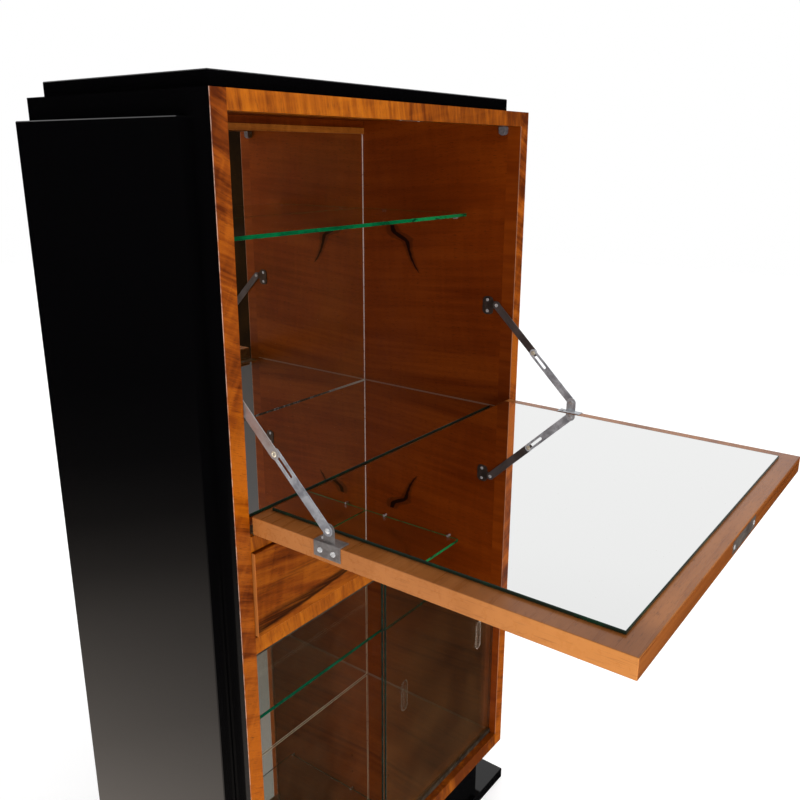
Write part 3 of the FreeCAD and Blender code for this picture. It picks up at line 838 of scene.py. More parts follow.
# Left and right copies of one metal: the right stay's arm steel is darkened as painted shade, and its slotted
# arm and flap plate are paler as painted light.
STEELS = {LEFT: Metal("stay_steel", (0.50, 0.48, 0.48), (0.34, 0.26, 0.23), 0.36, 14.0, 0.6),
          RIGHT: Metal("stay_steel_painted_shade", (0.17, 0.145, 0.14), (0.09, 0.075, 0.07), 0.36, 14.0, 0.6)}
ZINCS = {LEFT: Metal("stay_zinc", (0.52, 0.53, 0.56), (0.24, 0.24, 0.27), 0.38, 40.0, 0.55),
         RIGHT: Metal("stay_zinc_painted_light", (0.80, 0.83, 0.88), (0.24, 0.24, 0.27), 0.38, 26.0, 0.4)}
PLATES = {LEFT: Metal("plate_steel", (0.28, 0.26, 0.255), (0.17, 0.15, 0.145), 0.34, 60.0, 0.6),
          RIGHT: Metal("plate_steel_painted_light", (0.72, 0.76, 0.80), (0.42, 0.43, 0.46), 0.34, 60.0, 0.4)}
DARK_STEEL = Metal("dark_steel", (0.12, 0.09, 0.075), (0.05, 0.04, 0.035), 0.42)
BRIGHT = Metal("screw_steel", (0.90, 0.90, 0.90), (0.52, 0.52, 0.53), 0.22, 500.0, 0.5)
BRASS = Metal("pin_brass", (0.95, 0.86, 0.68), (0.45, 0.36, 0.24), 0.2, 400.0, 0.35)
CHROME = Metal("pin_chrome", (0.85, 0.85, 0.85), (0.55, 0.55, 0.55), 0.2)
TRACK = Metal("track_metal", (0.16, 0.13, 0.09), (0.06, 0.05, 0.04), 0.45)
LOCK_STEEL = Metal("lock_steel", (0.34, 0.29, 0.25), (0.16, 0.12, 0.10), 0.4)
HINGE_BRASS = Metal("hinge_brass", (0.30, 0.21, 0.10), (0.12, 0.08, 0.05), 0.42)
DARK_BOARD = Plain("dark_board", (0.09, 0.045, 0.02), (0.05, 0.025, 0.012), 0.7, (3.0, 90.0, 90.0))
BUFFER = Plain("buffer_grey", (0.15, 0.135, 0.14), (0.09, 0.08, 0.085), 0.5, (300.0, 300.0, 300.0))


def seat(origin: Vector, along: Vector, out: Vector) -> Matrix:
    """Axes of a fitting.

    Args:
        origin: Where it sits.
        along: Its X direction.
        out: Its Z direction, away from what carries it.

    Returns:
        The matrix from the fitting's own axes to the cabinet's.
    """
    z = out.normalized()
    x = (along - along.dot(z) * z).normalized()
    turn = Matrix((x, z.cross(x), z)).transposed().to_4x4()
    return Matrix.Translation(origin) @ turn


class Blank:
    """A mesh in the making. What shapes it hands the blank itself back."""

    sharp = math.radians(50)
    smooth_below = math.radians(22)

    def __init__(self) -> None:
        """Start empty."""
        self.mesh = bmesh.new()

    def everything(self) -> list[bmesh.types.BMVert | bmesh.types.BMEdge | bmesh.types.BMFace]:
        """All vertices, edges and faces."""
        return [*self.mesh.verts, *self.mesh.edges, *self.mesh.faces]

    def box(self, low: Vector, high: Vector) -> "Blank":
        """Add a box.

        Args:
            low: Its lowest corner.
            high: Its highest corner.

        Returns:
            The blank itself.
        """
        place = Matrix.Translation((low + high) / 2) @ Matrix.Diagonal((*(high - low), 1.0))
        bmesh.ops.create_cube(self.mesh, size=1.0, matrix=place)
        return self

    def stadium(self, start: float, end: float, width: float, steps: int = 30) -> list[bmesh.types.BMEdge]:
        """Draw a long hole's outline round two centres on the X axis.

        Args:
            start: First centre.
            end: Second centre.
            width: Width of the outline.
            steps: Edges round both ends.

        Returns:
            The edges of the outline.
        """
        turn = Matrix.Rotation(math.pi / steps, 4, "Z")
        verts = bmesh.ops.create_circle(self.mesh, radius=width / 2, segments=steps, matrix=turn)["verts"]
        ahead = [vert for vert in verts if vert.co.x > 0]
        behind = [vert for vert in verts if vert.co.x < 0]
        bmesh.ops.translate(self.mesh, verts=ahead, vec=(end, 0, 0))
        bmesh.ops.translate(self.mesh, verts=behind, vec=(start, 0, 0))
        return list({edge for vert in verts for edge in vert.link_edges})

    def sheet(self, outlines: Sequence[bmesh.types.BMEdge], thickness: float) -> "Blank":
        """Fill outlines and raise the sheet.

        Args:
            outlines: Edges of the outer outline and of the holes in it.
            thickness: Height of the sheet.

        Returns:
            The blank itself.
        """
        bmesh.ops.triangle_fill(self.mesh, use_beauty=True, use_dissolve=True, edges=outlines, normal=UP)
        self.lift(self.mesh.faces[:], UP * thickness)
        return self

    def lift(self, faces: Sequence[bmesh.types.BMFace], way: Vector) -> list[bmesh.types.BMFace]:
        """Extrude faces.

        Args:
            faces: A connected group of faces.
            way: How far and where to.

        Returns:
            The raised faces.
        """
        made = bmesh.ops.extrude_face_region(self.mesh, geom=faces)["geom"]
        verts = [item for item in made if isinstance(item, bmesh.types.BMVert)]
        bmesh.ops.translate(self.mesh, verts=verts, vec=way)
        return [item for item in made if isinstance(item, bmesh.types.BMFace)]

    def round(self, radius: float, steps: int = 2,
              choose: Callable[[bmesh.types.BMEdge], bool] | None = None) -> "Blank":
        """Bevel edges.

        Args:
            radius: Width of the bevel.
            steps: Its segments.
            choose: Tells which edges; without it the sharp ones.

        Returns:
            The blank itself.
        """
        choose = choose or (lambda edge: edge.calc_face_angle(0.0) > self.sharp)
        bmesh.ops.recalc_face_normals(self.mesh, faces=self.mesh.faces)
        edges = [edge for edge in self.mesh.edges if len(edge.link_faces) == 2 and choose(edge)]
        bmesh.ops.bevel(self.mesh, geom=edges, offset=radius, segments=steps, profile=0.5, affect="EDGES",
                        material=-1, clamp_overlap=True)
        return self

    def cut(self, point: Vector, away: Vector) -> "Blank":
        """Cut by a plane and close the cut.

        Args:
            point: A point of the plane.
            away: Direction of what comes off.

        Returns:
            The blank itself.
        """
        made = bmesh.ops.bisect_plane(self.mesh, geom=self.everything(), plane_co=point, plane_no=away,
                                      clear_outer=True)["geom_cut"]
        edges = [item for item in made if isinstance(item, bmesh.types.BMEdge)]
        bmesh.ops.edgeloop_fill(self.mesh, edges=edges)
        return self

    def move(self, matrix: Matrix) -> "Blank":
        """Bring it to its place."""
        bmesh.ops.transform(self.mesh, matrix=matrix, verts=self.mesh.verts)
        return self

    def add(self, other: "Blank", matrix: Matrix = Matrix()) -> "Blank":
        """Take in another blank.

        Args:
            other: The other blank, which is used up.
            matrix: Its place.

        Returns:
            The blank itself.
        """
        carrier = bpy.data.meshes.new("carrier")
        other.move(matrix)
        other.mesh.to_mesh(carrier)
        other.mesh.free()
        self.mesh.from_mesh(carrier)
        bpy.data.meshes.remove(carrier)
        return self

    def piece(self, name: str, body: str, finish: Finish, slot: str, *nodes: str) -> bpy.types.Object:
        """Turn the blank into a piece of the cabinet.

        Args:
            name: Name of the piece.
            body: Body that it rides on.
            finish: Its finish.
            slot: Material slot that the finish stands for; not used.
            nodes: CAD nodes that it replaces.

        Returns:
            The new object.
        """
        open_edges = [edge for edge in self.mesh.edges if edge.is_boundary]
        bmesh.ops.holes_fill(self.mesh, edges=open_edges, sides=0)
        bmesh.ops.recalc_face_normals(self.mesh, faces=self.mesh.faces)
        data = bpy.data.meshes.new(name)
        self.mesh.to_mesh(data)
        self.mesh.free()
        data.shade_smooth()
        data.set_sharp_from_angle(angle=self.smooth_below)
        data.materials.append(finish.material())
        made = bpy.data.objects.new(name, data)
        bpy.context.scene.collection.objects.link(made)
        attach(made, body)
        if nodes:
            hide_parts(*nodes)
        log.info("%s made, %d faces", name, len(data.polygons))
        return made


@dataclass
class Screw:
    """A round-headed slotted screw."""

    radius: float
    height: float
    slot: float = 0.7 * MM
    finish: Finish = BRIGHT

    def blank(self) -> Blank:
        """Shape the head.

        Returns:
            The head on the XY plane, its slot along X.
        """
        head = Blank()
        bmesh.ops.create_circle(head.mesh, cap_ends=True, radius=self.radius, segments=20)
        for side in SIDES:
            bmesh.ops.bisect_plane(head.mesh, geom=head.everything(), plane_co=(0, side * self.slot / 2, 0),
                                   plane_no=(0, 1, 0))
        raised = head.lift(head.mesh.faces[:], UP * self.height * 0.4)
        for face in [face for face in raised if abs(face.calc_center_median().y) > self.slot / 2]:
            cheek = head.lift([face], UP * self.height * 0.6)[0]
            bmesh.ops.scale(head.mesh, verts=cheek.verts, vec=(0.8, 0.88, 1.0))
        return head

    def row(self, name: str, body: str, slot: str, out: Vector, spots: Iterable[Spot]) -> None:
        """Make one piece of several screws.

        Args:
            name: Name of the piece.
            body: Body that it rides on.
            slot: Material slot.
            out: Where the heads face.
            spots: Place of each head and direction of its slot.
        """
        shape = Blank()
        for spot, turn in spots:
            shape.add(self.blank(), seat(spot, turn, out))
        shape.piece(name, body, self.finish, slot)


@dataclass
class Rivet:
    """The rolled end of a hollow rivet."""

    radius: float = 3.9 * MM
    bore: float = 1.5 * MM
    height: float = 0.8 * MM
    foot: float = -0.1 * MM

    def blank(self) -> Blank:
        """Spin the rolled section.

        Returns:
            A ring on the XY plane, its crest turned over.
        """
        ring = Blank()
        crest = (self.radius + self.bore) / 2
        half = (self.radius - self.bore) / 2
        angles = [math.pi * step / 8 for step in range(9)]
        section = [(crest + half * math.cos(angle), 0, self.height * math.sin(angle)) for angle in angles]
        section += [(self.bore, 0, self.foot), (self.radius, 0, self.foot)]
        verts = [ring.mesh.verts.new(point) for point in section]
        loop = [ring.mesh.edges.new(pair) for pair in zip(verts, verts[1:] + verts[:1])]
        bmesh.ops.spin(ring.mesh, geom=[*verts, *loop], cent=(0, 0, 0), axis=UP, angle=math.tau, steps=28,
                       use_merge=True)
        return ring


@dataclass
class Dome:
    """A riveted pin's head."""

    radius: float
    height: float

    def blank(self) -> Blank:
        """Shape the head.

        Returns:
            Half an ellipsoid on the XY plane.
        """
        head = Blank()
        bmesh.ops.create_uvsphere(head.mesh, u_segments=24, v_segments=12, radius=1.0)
        head.cut(Vector((0, 0, -0.05)), DOWN)
        return head.move(Matrix.Diagonal((self.radius, self.radius, self.height, 1.0)))


def dress(finish: Finish, *names: str) -> None:
    """Give CAD nodes a finish.

    Args:
        finish: The finish.
        names: The nodes.
    """
    for name in names:
        mesh = frame["nodes"][name].data
        mesh.materials.clear()
        mesh.materials.append(finish.material())
        log.info("%s dressed in %s", name, finish.name)


def swing(angle: float, side: Vector) -> Vector:
    """Direction at an angle from X towards another axis."""
    return Vector((math.cos(angle), 0, 0)) + side * math.sin(angle)


def pair(name: str) -> list[str]:
    """The names of a node's left and right copies."""
    return [f"{name}_{side}" for side in SIDES.values()]


@dataclass
class Case:
    """The black case, its face frame and its inner walls."""

    rails: Sequence[str] = ("top_rail", "flap_rail", "drawer_rail", "bottom_rail")
    stop_round: float = 5.6 * MM
    stop_rise: float = 1.6 * MM
    lath_bottom: float = 1347.3 * MM
    lath_top: float = 1358.3 * MM
    lath_depth: float = 2.4 * MM
    board_depth: float = 1.0 * MM
    board_lap: float = 2.0 * MM

    def build(self) -> None:
        """Dress the case and add its buffers."""
        dress(Lacquer(), "foot_plate", "plinth", "top_slab", *pair("side_board"), *pair("outer_panel"))
        dress(FrameVeneer("rail_walnut", RAIL, Grain.UPRIGHT, (0.0, 10.0, 0.0), figure=55.0, streaks=260.0,
                          ripple=0.35, contrast=0.8, joint=2.0, right_shade=0.28), *self.rails)
        dress(FrameVeneer("stile_walnut", STILE, Grain.ACROSS, (0.0, -26.0, 0.0), figure=34.0, streaks=230.0,
                          ripple=0.7, contrast=1.0, right_shade=0.12, painted_highlight=0.26, reveal=True),
              *pair("stile_upper"), *pair("stile_lower"))
        dress(LiningVeneer("lining_walnut", WALL, Grain.DEEP, (4.0, 0.0, 0.0), figure=7.0, ripple=0.2,
                           contrast=0.6, shine=0.10, coat=0.03), *pair("upper_lining"), *pair("lower_lining"))
        dress(Veneer("board_walnut", WALL), "top_board", "bar_floor_board")
        dress(DARK_BOARD, "bottom_board", "drawer_board", "back_panel")
        self._header()
        self._stops()

    def _header(self) -> None:
        """A strip of veneered board with a lath over the upper edge of the back mirror."""
        low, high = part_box("bar_back_mirror")
        shapes = (("back_mirror_board", WALL, self.board_depth, self.lath_top - self.board_lap, high.z),
                  ("back_mirror_lath", LATH, self.lath_depth, self.lath_bottom, self.lath_top))
        for name, tones, depth, bottom, top in shapes:
            strip = Blank().box(Vector((low.x, low.y - depth, bottom)), Vector((high.x, low.y, top)))
            strip.round(0.3 * MM).piece(name, "cabinet", Veneer(name + "_walnut", tones), "interior_walnut")

    def _stops(self) -> None:
        """Two grey buffers with round lower ends under the top rail."""
        low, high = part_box("flap_stops")
        low.z += self.stop_rise
        width = high.y - low.y
        shape = Blank()
        for side in SIDES:
            near, far = sorted((side * high.x, side * (high.x - width)))
            block = Blank().box(Vector((near, low.y, low.z)), Vector((far, high.y, high.z)))
            block.round(self.stop_round, 5, lambda edge: all(vert.co.z < low.z + MM for vert in edge.verts))
            shape.add(block.round(0.4 * MM, 1))
        shape.piece("flap_stop_buffers", "cabinet", BUFFER, "grey_buffer", "flap_stops")


@dataclass
class Glazing:
    """Mirrors, glass shelves and panes."""

    mirrors: Mapping[str, Mapping[str, object]] = field(default_factory=lambda: {
        # The back mirror's warm dust glow also stands in for the warm sheen of the wall seen in it: painted
        # light.
        "bar_back_mirror": {"lines": ((0.0, 4.0 * MM),), "line_sides": (0,), "edge_width": -MM,
                            "line": (0.85, 0.68, 0.58), "foot": 860.0 * MM,
                            "dust_glow": 0.035, "dust_glow_tint": (0.90, 0.36, 0.05)},
        "bar_floor_mirror": {},
        "lower_back_mirror": {"lines": ((0.0, 2.0 * MM), (4.5 * MM, 6.5 * MM)), "line": (0.80, 0.65, 0.38),
                              "dust_glow": 0.07, "tint": (0.93, 0.90, 0.84), "edge_width": -MM},
        "lower_floor_mirror": {"dust_glow": 0.05},
        "flap_mirror": {"edge_width": 1.2 * MM},
    })
    shelves: Mapping[str, Colour] = field(default_factory=lambda: {
        "bar_shelf": (0.0, 0.15, 0.042), "lower_shelf": (0.0, 0.090, 0.045)})
    pulls: Mapping[str, float] = field(default_factory=lambda: {
        "pane_left": 28.5 * MM, "pane_right": 268.0 * MM})
    pull_level: float = 402 * MM
    pane_edge: Colour = (0.003, 0.010, 0.008)
    pane_glow: Colour = (0.01, 0.045, 0.03)
    arris: float = 0.7 * MM

    def build(self) -> None:
        """Dress the glass and make the shelves."""
        for name, traits in self.mirrors.items():
            dress(Silver(name + "_silver", Slab(*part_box(name)), **traits), name)
        for name, glow in self.shelves.items():
            low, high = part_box(name)
            shelf = Blank().box(low, high).round(self.arris)
            finish = Glass(name + "_float", Slab(low, high), glow=glow)
            made = shelf.piece(name + "_glass", "cabinet", finish, "shelf_glass", name)
            made.visible_shadow = False
        for name, place in self.pulls.items():
            dress(Glass(name + "_float", Slab(*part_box(name)), edge=self.pane_edge, glow=self.pane_glow,
                        highlight_from=0.5, dust_glow=0.018, pull=(place, self.pull_level)), name)


@dataclass
class Fittings:
    """Metal parts that stay as the CAD made them, and the screws that hold them."""

    hinge_screws: int = 10
    hinge_screw_line: float = -161 * MM
    hinge_screw_seat: float = 0.65 * MM
    hinge_turn: float = 2.1
    back_screws: int = 7
    back_turn: float = 1.7
    back_inset: float = 12 * MM
    lock_inset: float = 7 * MM
    striker_inset: float = 5 * MM
    striker_seat: float = 0.8 * MM

    def build(self) -> None:
        """Dress the metal and drive the screws."""
        dress(LOCK_STEEL, "lock_case", "lock_bolt", "striker")
        dress(HINGE_BRASS, "hinge_case_leaf", "hinge_flap_leaf", "escutcheon")
        dress(CHROME, "bar_shelf_pins", "lower_shelf_pins")
        dress(TRACK, "lower_track", "upper_track")
        self._lock_screws()
        self._hinge_screws()
        self._back_screws()
        self._striker_screws()

    def _lock_screws(self) -> None:
        """One screw at each end of the lock's face plate."""
        low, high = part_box("lock_case")
        spots = [(Vector((place, low.y, (low.z + high.z) / 2)), Vector((1, 0, 1)))
                 for place in (low.x + self.lock_inset, high.x - self.lock_inset)]
        Screw(3.0 * MM, 0.7 * MM).row("lock_screws", "flap", "lock_steel", FORWARD, spots)

    def _hinge_screws(self) -> None:
        """A row of screws along the long hinge's case leaf."""
        low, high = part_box("hinge_case_leaf")
        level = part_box("flap_rail")[1].z + self.hinge_screw_seat
        pitch = (high.x - low.x) / self.hinge_screws
        spots = [(Vector((low.x + pitch * (count + 0.5), self.hinge_screw_line, level)),
                  swing(count * self.hinge_turn, BACKWARD)) for count in range(self.hinge_screws)]
        Screw(2.2 * MM, 0.6 * MM).row("hinge_screws", "cabinet", "hinge_brass", UP, spots)

    def _back_screws(self) -> None:
        """Screws round the back panel."""
        low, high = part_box("back_panel")
        pitch = (high.z - low.z - 2 * self.back_inset) / (self.back_screws - 1)
        rows = [low.z + self.back_inset + pitch * count for count in range(self.back_screws)]
        places = [(side * (high.x - self.back_inset), level) for side in SIDES for level in rows]
        places += [(0.0, rows[0]), (0.0, rows[-1])]
        spots = [(Vector((across, high.y, level)), swing(count * self.back_turn, UP))
                 for count, (across, level) in enumerate(places)]
        screw = Screw(3.4 * MM, 1.2 * MM, finish=HINGE_BRASS)
        screw.row("back_screws", "cabinet", "hinge_brass", BACKWARD, spots)

    def _striker_screws(self) -> None:
        """Two screws in the striker under the top rail."""
        low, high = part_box("striker")
        spots = [(Vector((place, (low.y + high.y) / 2, low.z + self.striker_seat)), Vector((1, 1, 0)))
                 for place in (low.x + self.striker_inset, high.x - self.striker_inset)]
        Screw(2.0 * MM, 1.2 * MM).row("striker_screws", "cabinet", "lock_steel", DOWN, spots)


@dataclass
class Drawer:
    """The drawer and its guides."""

    pale: Colour = (0.52, 0.36, 0.20)
    dark: Colour = (0.42, 0.27, 0.14)

    def build(self) -> None:
        """Dress the drawer, its sides with the grain from front to back."""
        dress(DrawerVeneer("drawer_walnut", FRONT, Grain.ACROSS, (0.0, -9.0, 0.0), figure=26.0,
                           contrast=1.15, shine=0.06), "drawer_front")
        dress(Plain("drawer_wood", self.pale, self.dark, 0.6, (6.0, 80.0, 80.0)),
              "drawer_back", "drawer_bottom")
        dress(Plain("drawer_side_wood", self.pale, self.dark, 0.6, (80.0, 6.0, 80.0)),
              *pair("drawer_side"), *pair("drawer_guide"))


@dataclass
class Flap:
    """The drop-front flap."""

    def build(self) -> None:
        """Dress the flap."""
        dress(FlapVeneer("flap_walnut", FLAP, figure=10.0, contrast=0.75, ripple=0.12, gloss=0.28,
                         shine=0.2, coat=0.3), "flap_panel")


@dataclass
class Stay:
    """One folding stay between the case wall and the flap.

    The faces are distances from the middle of the case, from the wall inwards.
    """

    side: int
    width: float = 14 * MM
    thickness: float = 1.7 * MM
    slot_length: float = 33 * MM
    slot_width: float = 5.2 * MM
    arris: float = 0.35 * MM
    wall_face: float = 326 * MM
    upper_face: float = 324 * MM
    lower_face: float = 322 * MM
    lug_face: float = 320 * MM
    plate_round: float = 8 * MM
    plate_start: float = 8 * MM
    plate_thickness: float = 1.5 * MM
    plate_arris: float = 0.3 * MM
    screw_spread: float = 10 * MM
    lug_width: float = 17 * MM
    lug_length: float = 30 * MM
    angle_top: float = 15 * MM
    angle_round: float = 0.5 * MM

    def build(self) -> None:
        """Make the brackets, the arms and their pins."""
        joints = {joint["name"]: joint for joint in frame["joints"]}
        self.label = SIDES[self.side]
        self.inwards = Vector((-self.side, 0, 0))
        self.wall = Vector(joints[f"upper_arm_{self.label}_pivot"]["pos_m"])
        self.foot = Vector(joints[f"slotted_arm_{self.label}_pivot"]["pos_m"])
        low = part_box(f"stay_upper_arm_{self.label}")[0]
        self.middle = Vector((self.wall.x, low.y + self.width / 2, low.z + self.width / 2))
        self._wall_bracket()
        self._upper_arm()
        self._slotted_arm()
        self._flap_bracket()
        self._flap_screws()

    def _at(self, point: Vector, level: float) -> Vector:
        """The same point at a distance from the middle of the case."""
        return Vector((self.side * level, point.y, point.z))

    def _strip(self, name: str, start: Vector, end: Vector, level: float, slot: float, metal: Finish) -> None:
        """A rolled strip with round ends.

        Args:
            name: Body and node that it stands for.
            start: First pivot.
            end: Second pivot.
            level: Distance of its outer face from the middle of the case.
            slot: Where the long hole behind the first pivot ends, 0 for none.
            metal: Its finish.
        """
        strip = Blank()
        outline = strip.stadium(0, (end - start).length, self.width)
        if slot:
            outline += strip.stadium(self.slot_width, slot, self.slot_width, 18)
        strip.sheet(outline, self.thickness).round(self.arris)
        strip.move(seat(self._at(start, level), end - start, self.inwards))
        strip.piece(f"stay_{name}_strip", name, metal, "stay_steel", f"stay_{name}")

    def _upper_arm(self) -> None:
        """The arm on the wall bracket and its screw."""
        name = f"upper_arm_{self.label}"
        self._strip(name, self.wall, self.middle, self.upper_face, 0, STEELS[self.side])
        spot = self._at(self.wall, self.upper_face - self.thickness)
        Screw(3.4 * MM, 1.2 * MM).row(f"stay_{name}_wall_pin", name, "stay_steel", self.inwards,
                                      [(spot, Vector((0, 1, 1)))])

    def _slotted_arm(self) -> None:
        """The arm on the flap bracket and the rivet at the end of its slot."""
        name = f"slotted_arm_{self.label}"
        self._strip(name, self.middle, self.foot, self.lower_face, self.slot_length, ZINCS[self.side])
        along = self.foot - self.middle
        pin = Blank()
        inner = self._at(self.middle, self.lower_face - self.thickness)
        pin.add(Dome(4.2 * MM, 1.4 * MM).blank(), seat(inner, along, self.inwards))
        pin.add(Rivet().blank(), seat(self._at(self.middle, self.upper_face), along, -self.inwards))
        pin.piece(f"stay_{name}_middle_pin", name, BRASS, "stay_steel")

    def _wall_bracket(self) -> None:
        """Rounded plate with an ear for the upper arm and two screws."""
        low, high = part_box("stay_wall_brackets")
        near = self.wall.y + self.plate_start
        centre = Vector((0, (near + high.y) / 2, (low.z + high.z) / 2))
        tall, deep = (high.z - low.z) / 2, (high.y - near) / 2
        plate = Blank().box(Vector((-tall, -deep, 0)), Vector((tall, deep, self.plate_thickness)))
        plate.round(self.plate_round, 6, lambda edge: abs(edge.verts[0].co.z - edge.verts[1].co.z) > MM)
        plate.round(self.plate_arris, 1)
        shape = Blank().add(plate, seat(self._at(centre, self.wall_face), UP, self.inwards))
        ear = Blank()
        outline = ear.stadium(0, (centre - self.wall).yz.length, self.width)
        ear.sheet(outline, self.thickness).round(self.plate_arris, 1)
        shape.add(ear, seat(self._at(self.wall, self.wall_face), BACKWARD, self.inwards))
        shape.piece(f"stay_wall_plate_{self.label}", "cabinet", DARK_STEEL, "stay_steel",
                    "stay_wall_brackets")
        face = self.wall_face - self.plate_thickness
        spots = [(self._at(centre + Vector((0, MM, step * self.screw_spread)), face), Vector((0, 1, step)))
                 for step in (-1, 1)]
        screw = Screw(3.0 * MM, 0.4 * MM)
        screw.row(f"stay_wall_screws_{self.label}", "cabinet", "stay_steel", self.inwards, spots)

    def _flap_bracket(self) -> None:
        """Angle plate over the flap's edge with a lug for the slotted arm."""
        low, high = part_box("stay_flap_brackets")
        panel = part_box("flap_panel")[1]
        gauge = high.x - panel.x
        inner, top = panel.x - self.angle_top, panel.z + gauge
        section = ((inner, panel.z), (inner, top), (high.x, top), (high.x, low.z), (panel.x, low.z),
                   (panel.x, panel.z))
        angle = Blank()
        corners = [angle.mesh.verts.new((x, low.y, z)) for x, z in section]
        angle.lift([angle.mesh.faces.new(corners)], BACKWARD * (high.y - low.y))
        angle.round(self.angle_round)
        lug = Blank()
        lug.sheet(lug.stadium(0, self.lug_length, self.lug_width), self.thickness)
        lug.cut(Vector((self.foot.z - panel.z, 0, 0)), Vector((1, 0, 0))).round(self.plate_arris, 1)
        angle.add(lug, seat(Vector((self.lug_face, self.foot.y, self.foot.z)), DOWN, Vector((-1, 0, 0))))
        if self.side == LEFT:
            bmesh.ops.scale(angle.mesh, vec=(-1, 1, 1), verts=angle.mesh.verts)
        angle.piece(f"stay_flap_plate_{self.label}", "flap", PLATES[self.side], "stay_steel",
                    "stay_flap_brackets")

    def _flap_screws(self) -> None:
        """Two screws in the side leg, one in the top leg and the arm's rivet."""
        low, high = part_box("stay_flap_brackets")
        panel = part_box("flap_panel")[1]
        level = (low.z + panel.z) / 2
        centre = Vector((0, (low.y + high.y) / 2, level))
        top = Vector((self.side * (panel.x - 8 * MM), high.y - 7 * MM, panel.z + high.x - panel.x))
        heads = [(Screw(3.5 * MM, 1.8 * MM), self._at(centre + BACKWARD * step * self.screw_spread, high.x),
                  Vector((0, 1, step)), -self.inwards) for step in (-1, 1)]
        heads += [(Screw(2.8 * MM, 1.2 * MM), top, Vector((1, 2, 0)), UP)]
        ends = ((self.lug_face - self.thickness, self.inwards), (self.lower_face, -self.inwards))
        heads += [(Dome(3.6 * MM, 1.2 * MM), self._at(self.foot, face), BACKWARD, out) for face, out in ends]
        screws = Blank()
        for head, spot, along, out in heads:
            screws.add(head.blank(), seat(spot, along, out))
        screws.piece(f"stay_flap_screws_{self.label}", "flap", BRIGHT, "stay_steel")


@dataclass(frozen=True)
class SkyBand:
    """A part of the room that the gloss mirrors.

    The stops are pairs of rise, from -1 straight down to 1 straight up, and brightness. A band
    with a way fills only the side that this horizontal direction points to.
    """

    stops: Sequence[tuple[float, float]]
    way: tuple[float, float] | None = None
    fade: tuple[float, float] = (0.2, 0.5)
    tint: Colour = WHITE

    def light(self, sheet: NodeSheet, x: Wire, y: Wire, rise: Wire) -> Wire:
        """Colour that the band adds in one direction.

        Args:
            sheet: The world's sheet.
            x: Direction's share along X.
            y: Direction's share along Y.
            rise: Direction's share along Z.

        Returns:
            The colour.
        """
        stops = [((level + 1) / 2, tuple(light * part for part in self.tint)) for level, light in self.stops]
        colour = sheet.colours(rise * 0.5 + 0.5, stops)
        if self.way is None:
            return colour
        facing = x * self.way[0] + y * self.way[1]
        return sheet.blend(facing.ramp(*self.fade), NOTHING, colour)


DARK_ROOM = SkyBand(((-1.0, 0.02), (-0.5, 0.006), (-0.25, 0.002), (0.08, 0.002), (0.22, 0.05), (0.45, 0.10),
                     (1.0, 0.5)))
GROUND_GLOW = SkyBand(((-1.0, 1.0), (-0.66, 0.92), (-0.60, 0.62), (-0.50, 0.33), (-0.45, 0.15),
                       (-0.40, 0.055), (-0.34, 0.014), (-0.25, 0.0)),
                      (-0.8, 0.6), (-0.75, -0.4), (1.0, 0.88, 0.78))
WHITE_WALL = SkyBand(((0.10, 0.0), (0.22, 0.86), (0.45, 0.78), (1.0, 0.1)), (0.8, 0.6), (0.35, 0.6))
BACK_WALL = SkyBand(((0.10, 0.0), (0.22, 0.26), (0.45, 0.24), (1.0, 0.1)), (-0.8, -0.6), (0.35, 0.6))


@dataclass(frozen=True)
class SoftBox:
    """A square light aimed at a point, which no gloss or glass shows."""

    name: str
    place: tuple[float, float, float]
    aim: tuple[float, float, float]
    size: float
    power: float

    def hang(self) -> None:
        """Put it up."""
        data = bpy.data.lights.new(self.name, "AREA")
        data.size = self.size
        data.energy = self.power
        light = bpy.data.objects.new(self.name, data)
        light.location = self.place
        light.rotation_euler = (Vector(self.aim) - Vector(self.place)).to_track_quat("-Z", "Y").to_euler()
        light.visible_glossy = False
        light.visible_transmission = False
        bpy.context.scene.collection.objects.link(light)


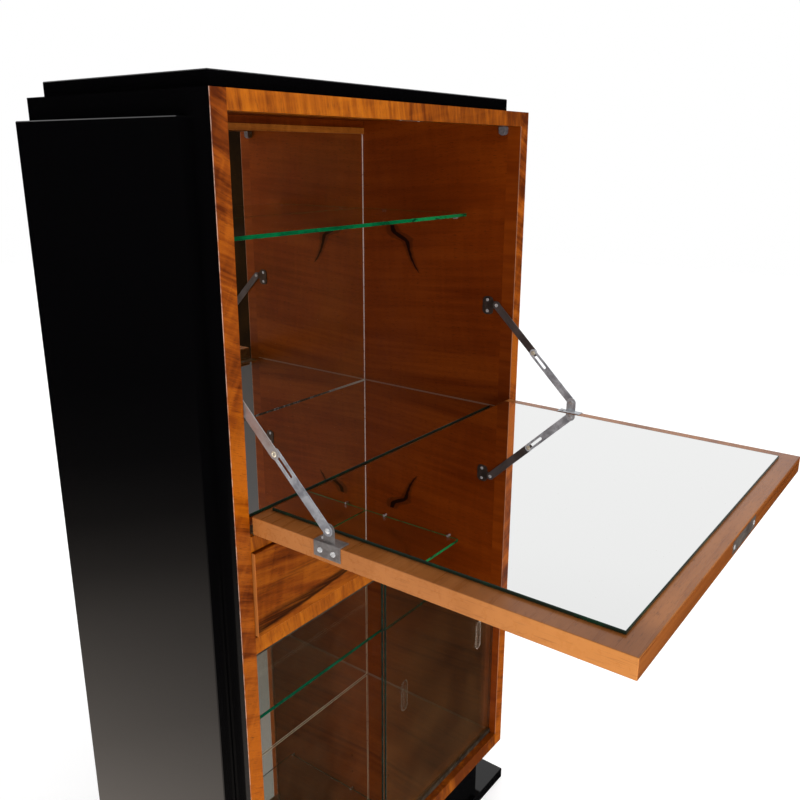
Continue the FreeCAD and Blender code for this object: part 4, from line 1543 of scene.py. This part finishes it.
@dataclass
class Studio:
    """Floor, light and camera."""

    eye: tuple[float, float, float] = (-0.9653, -0.8838, 1.3124)
    yaw: float = 53.33
    pitch: float = 16.70
    roll: float = 0.19
    lens: float = 37.035
    sensor: float = 36.0
    floor_half: float = 9.0
    dome: float = 1.1
    dome_shade: Colour = (0.62, 0.62, 0.62)
    bands: Sequence[SkyBand] = (DARK_ROOM, GROUND_GLOW, WHITE_WALL, BACK_WALL)
    lights: Sequence[SoftBox] = (SoftBox("key_light", (1.5, -2.7, 2.5), (0, -0.2, 0.9), 2.4, 48.0),
                                 SoftBox("low_light", (-2.1, -1.9, 0.45), (0.0, -0.2, 0.7), 1.4, 45.0))

    def build(self) -> None:
        """Set the stage."""
        bpy.context.scene.view_settings.view_transform = "Standard"
        self._floor()
        self._world()
        self._camera()
        for light in self.lights:
            light.hang()

    def _floor(self) -> None:
        """Pale floor under the cabinet."""
        shape = bmesh.new()
        bmesh.ops.create_grid(shape, x_segments=1, y_segments=1, size=self.floor_half)
        mesh = bpy.data.meshes.new("floor")
        shape.to_mesh(mesh)
        shape.free()
        material = bpy.data.materials.new("pale_floor")
        sheet = NodeSheet(material)
        grey = sheet.noise(3.0).ramp(0.2, 0.8) * 0.02 + 0.88
        sheet.close(sheet.shader({"Base Color": sheet.blend(grey, NOTHING, WHITE), "Roughness": 0.7,
                                  "Emission Color": WHITE, "Emission Strength": 0.3}))
        mesh.materials.append(material)
        floor = bpy.data.objects.new("floor", mesh)
        floor.visible_glossy = False
        floor.visible_transmission = False
        bpy.context.scene.collection.objects.link(floor)

    def _world(self) -> None:
        """White background, a soft dome for the light, and a banded room for the gloss."""
        world = bpy.data.worlds.new("studio")
        sheet = NodeSheet(world)
        x, y, rise = sheet.split(sheet.node("ShaderNodeTexCoord", output="Generated"))
        gloss = self.bands[0].light(sheet, x, y, rise)
        for band in self.bands[1:]:
            gloss = sheet.blend(1.0, gloss, band.light(sheet, x, y, rise), "ADD")
        shade = sheet.blend(x.ramp(-1.0, 1.0), self.dome_shade, WHITE)
        room = sheet.node("ShaderNodeBackground", values={0: gloss, 1: 1.0})
        soft = sheet.node("ShaderNodeBackground", values={0: shade, 1: self.dome})
        plain = sheet.node("ShaderNodeBackground", values={0: (*WHITE, 1.0), 1: 1.0})
        outputs = sheet.node("ShaderNodeLightPath").socket.node.outputs
        scattered = Wire(sheet, outputs["Diffuse Depth"]) > 0.5
        lit = sheet.cover(scattered, room, soft)
        sheet.close(sheet.cover(Wire(sheet, outputs["Is Camera Ray"]), lit, plain), "ShaderNodeOutputWorld")
        world.cycles.sampling_method = "NONE"
        bpy.context.scene.world = world

    def _camera(self) -> None:
        """The photograph's view."""
        data = bpy.data.cameras.new("camera")
        data.lens = self.lens
        data.sensor_width = self.sensor
        camera = bpy.data.objects.new("camera", data)
        yaw, pitch, roll = (math.radians(angle) for angle in (self.yaw, self.pitch, self.roll))
        ahead = Vector((math.sin(yaw) * math.cos(pitch), math.cos(yaw) * math.cos(pitch), -math.sin(pitch)))
        turn = ahead.to_track_quat("-Z", "Y").to_matrix()
        camera.rotation_euler = (turn @ Matrix.Rotation(roll, 3, "Z")).to_euler()
        camera.location = self.eye
        bpy.context.scene.collection.objects.link(camera)
        bpy.context.scene.camera = camera


def main() -> None:
    """Build every sub-assembly in order."""
    logging.basicConfig(level=logging.INFO, format="%(message)s")
    for part in (Case(), Glazing(), Fittings(), Drawer(), Flap(), Stay(LEFT), Stay(RIGHT), Studio()):
        part.build()
        log.info("%s done", type(part).__name__)


if __name__ == "__main__":
    main()
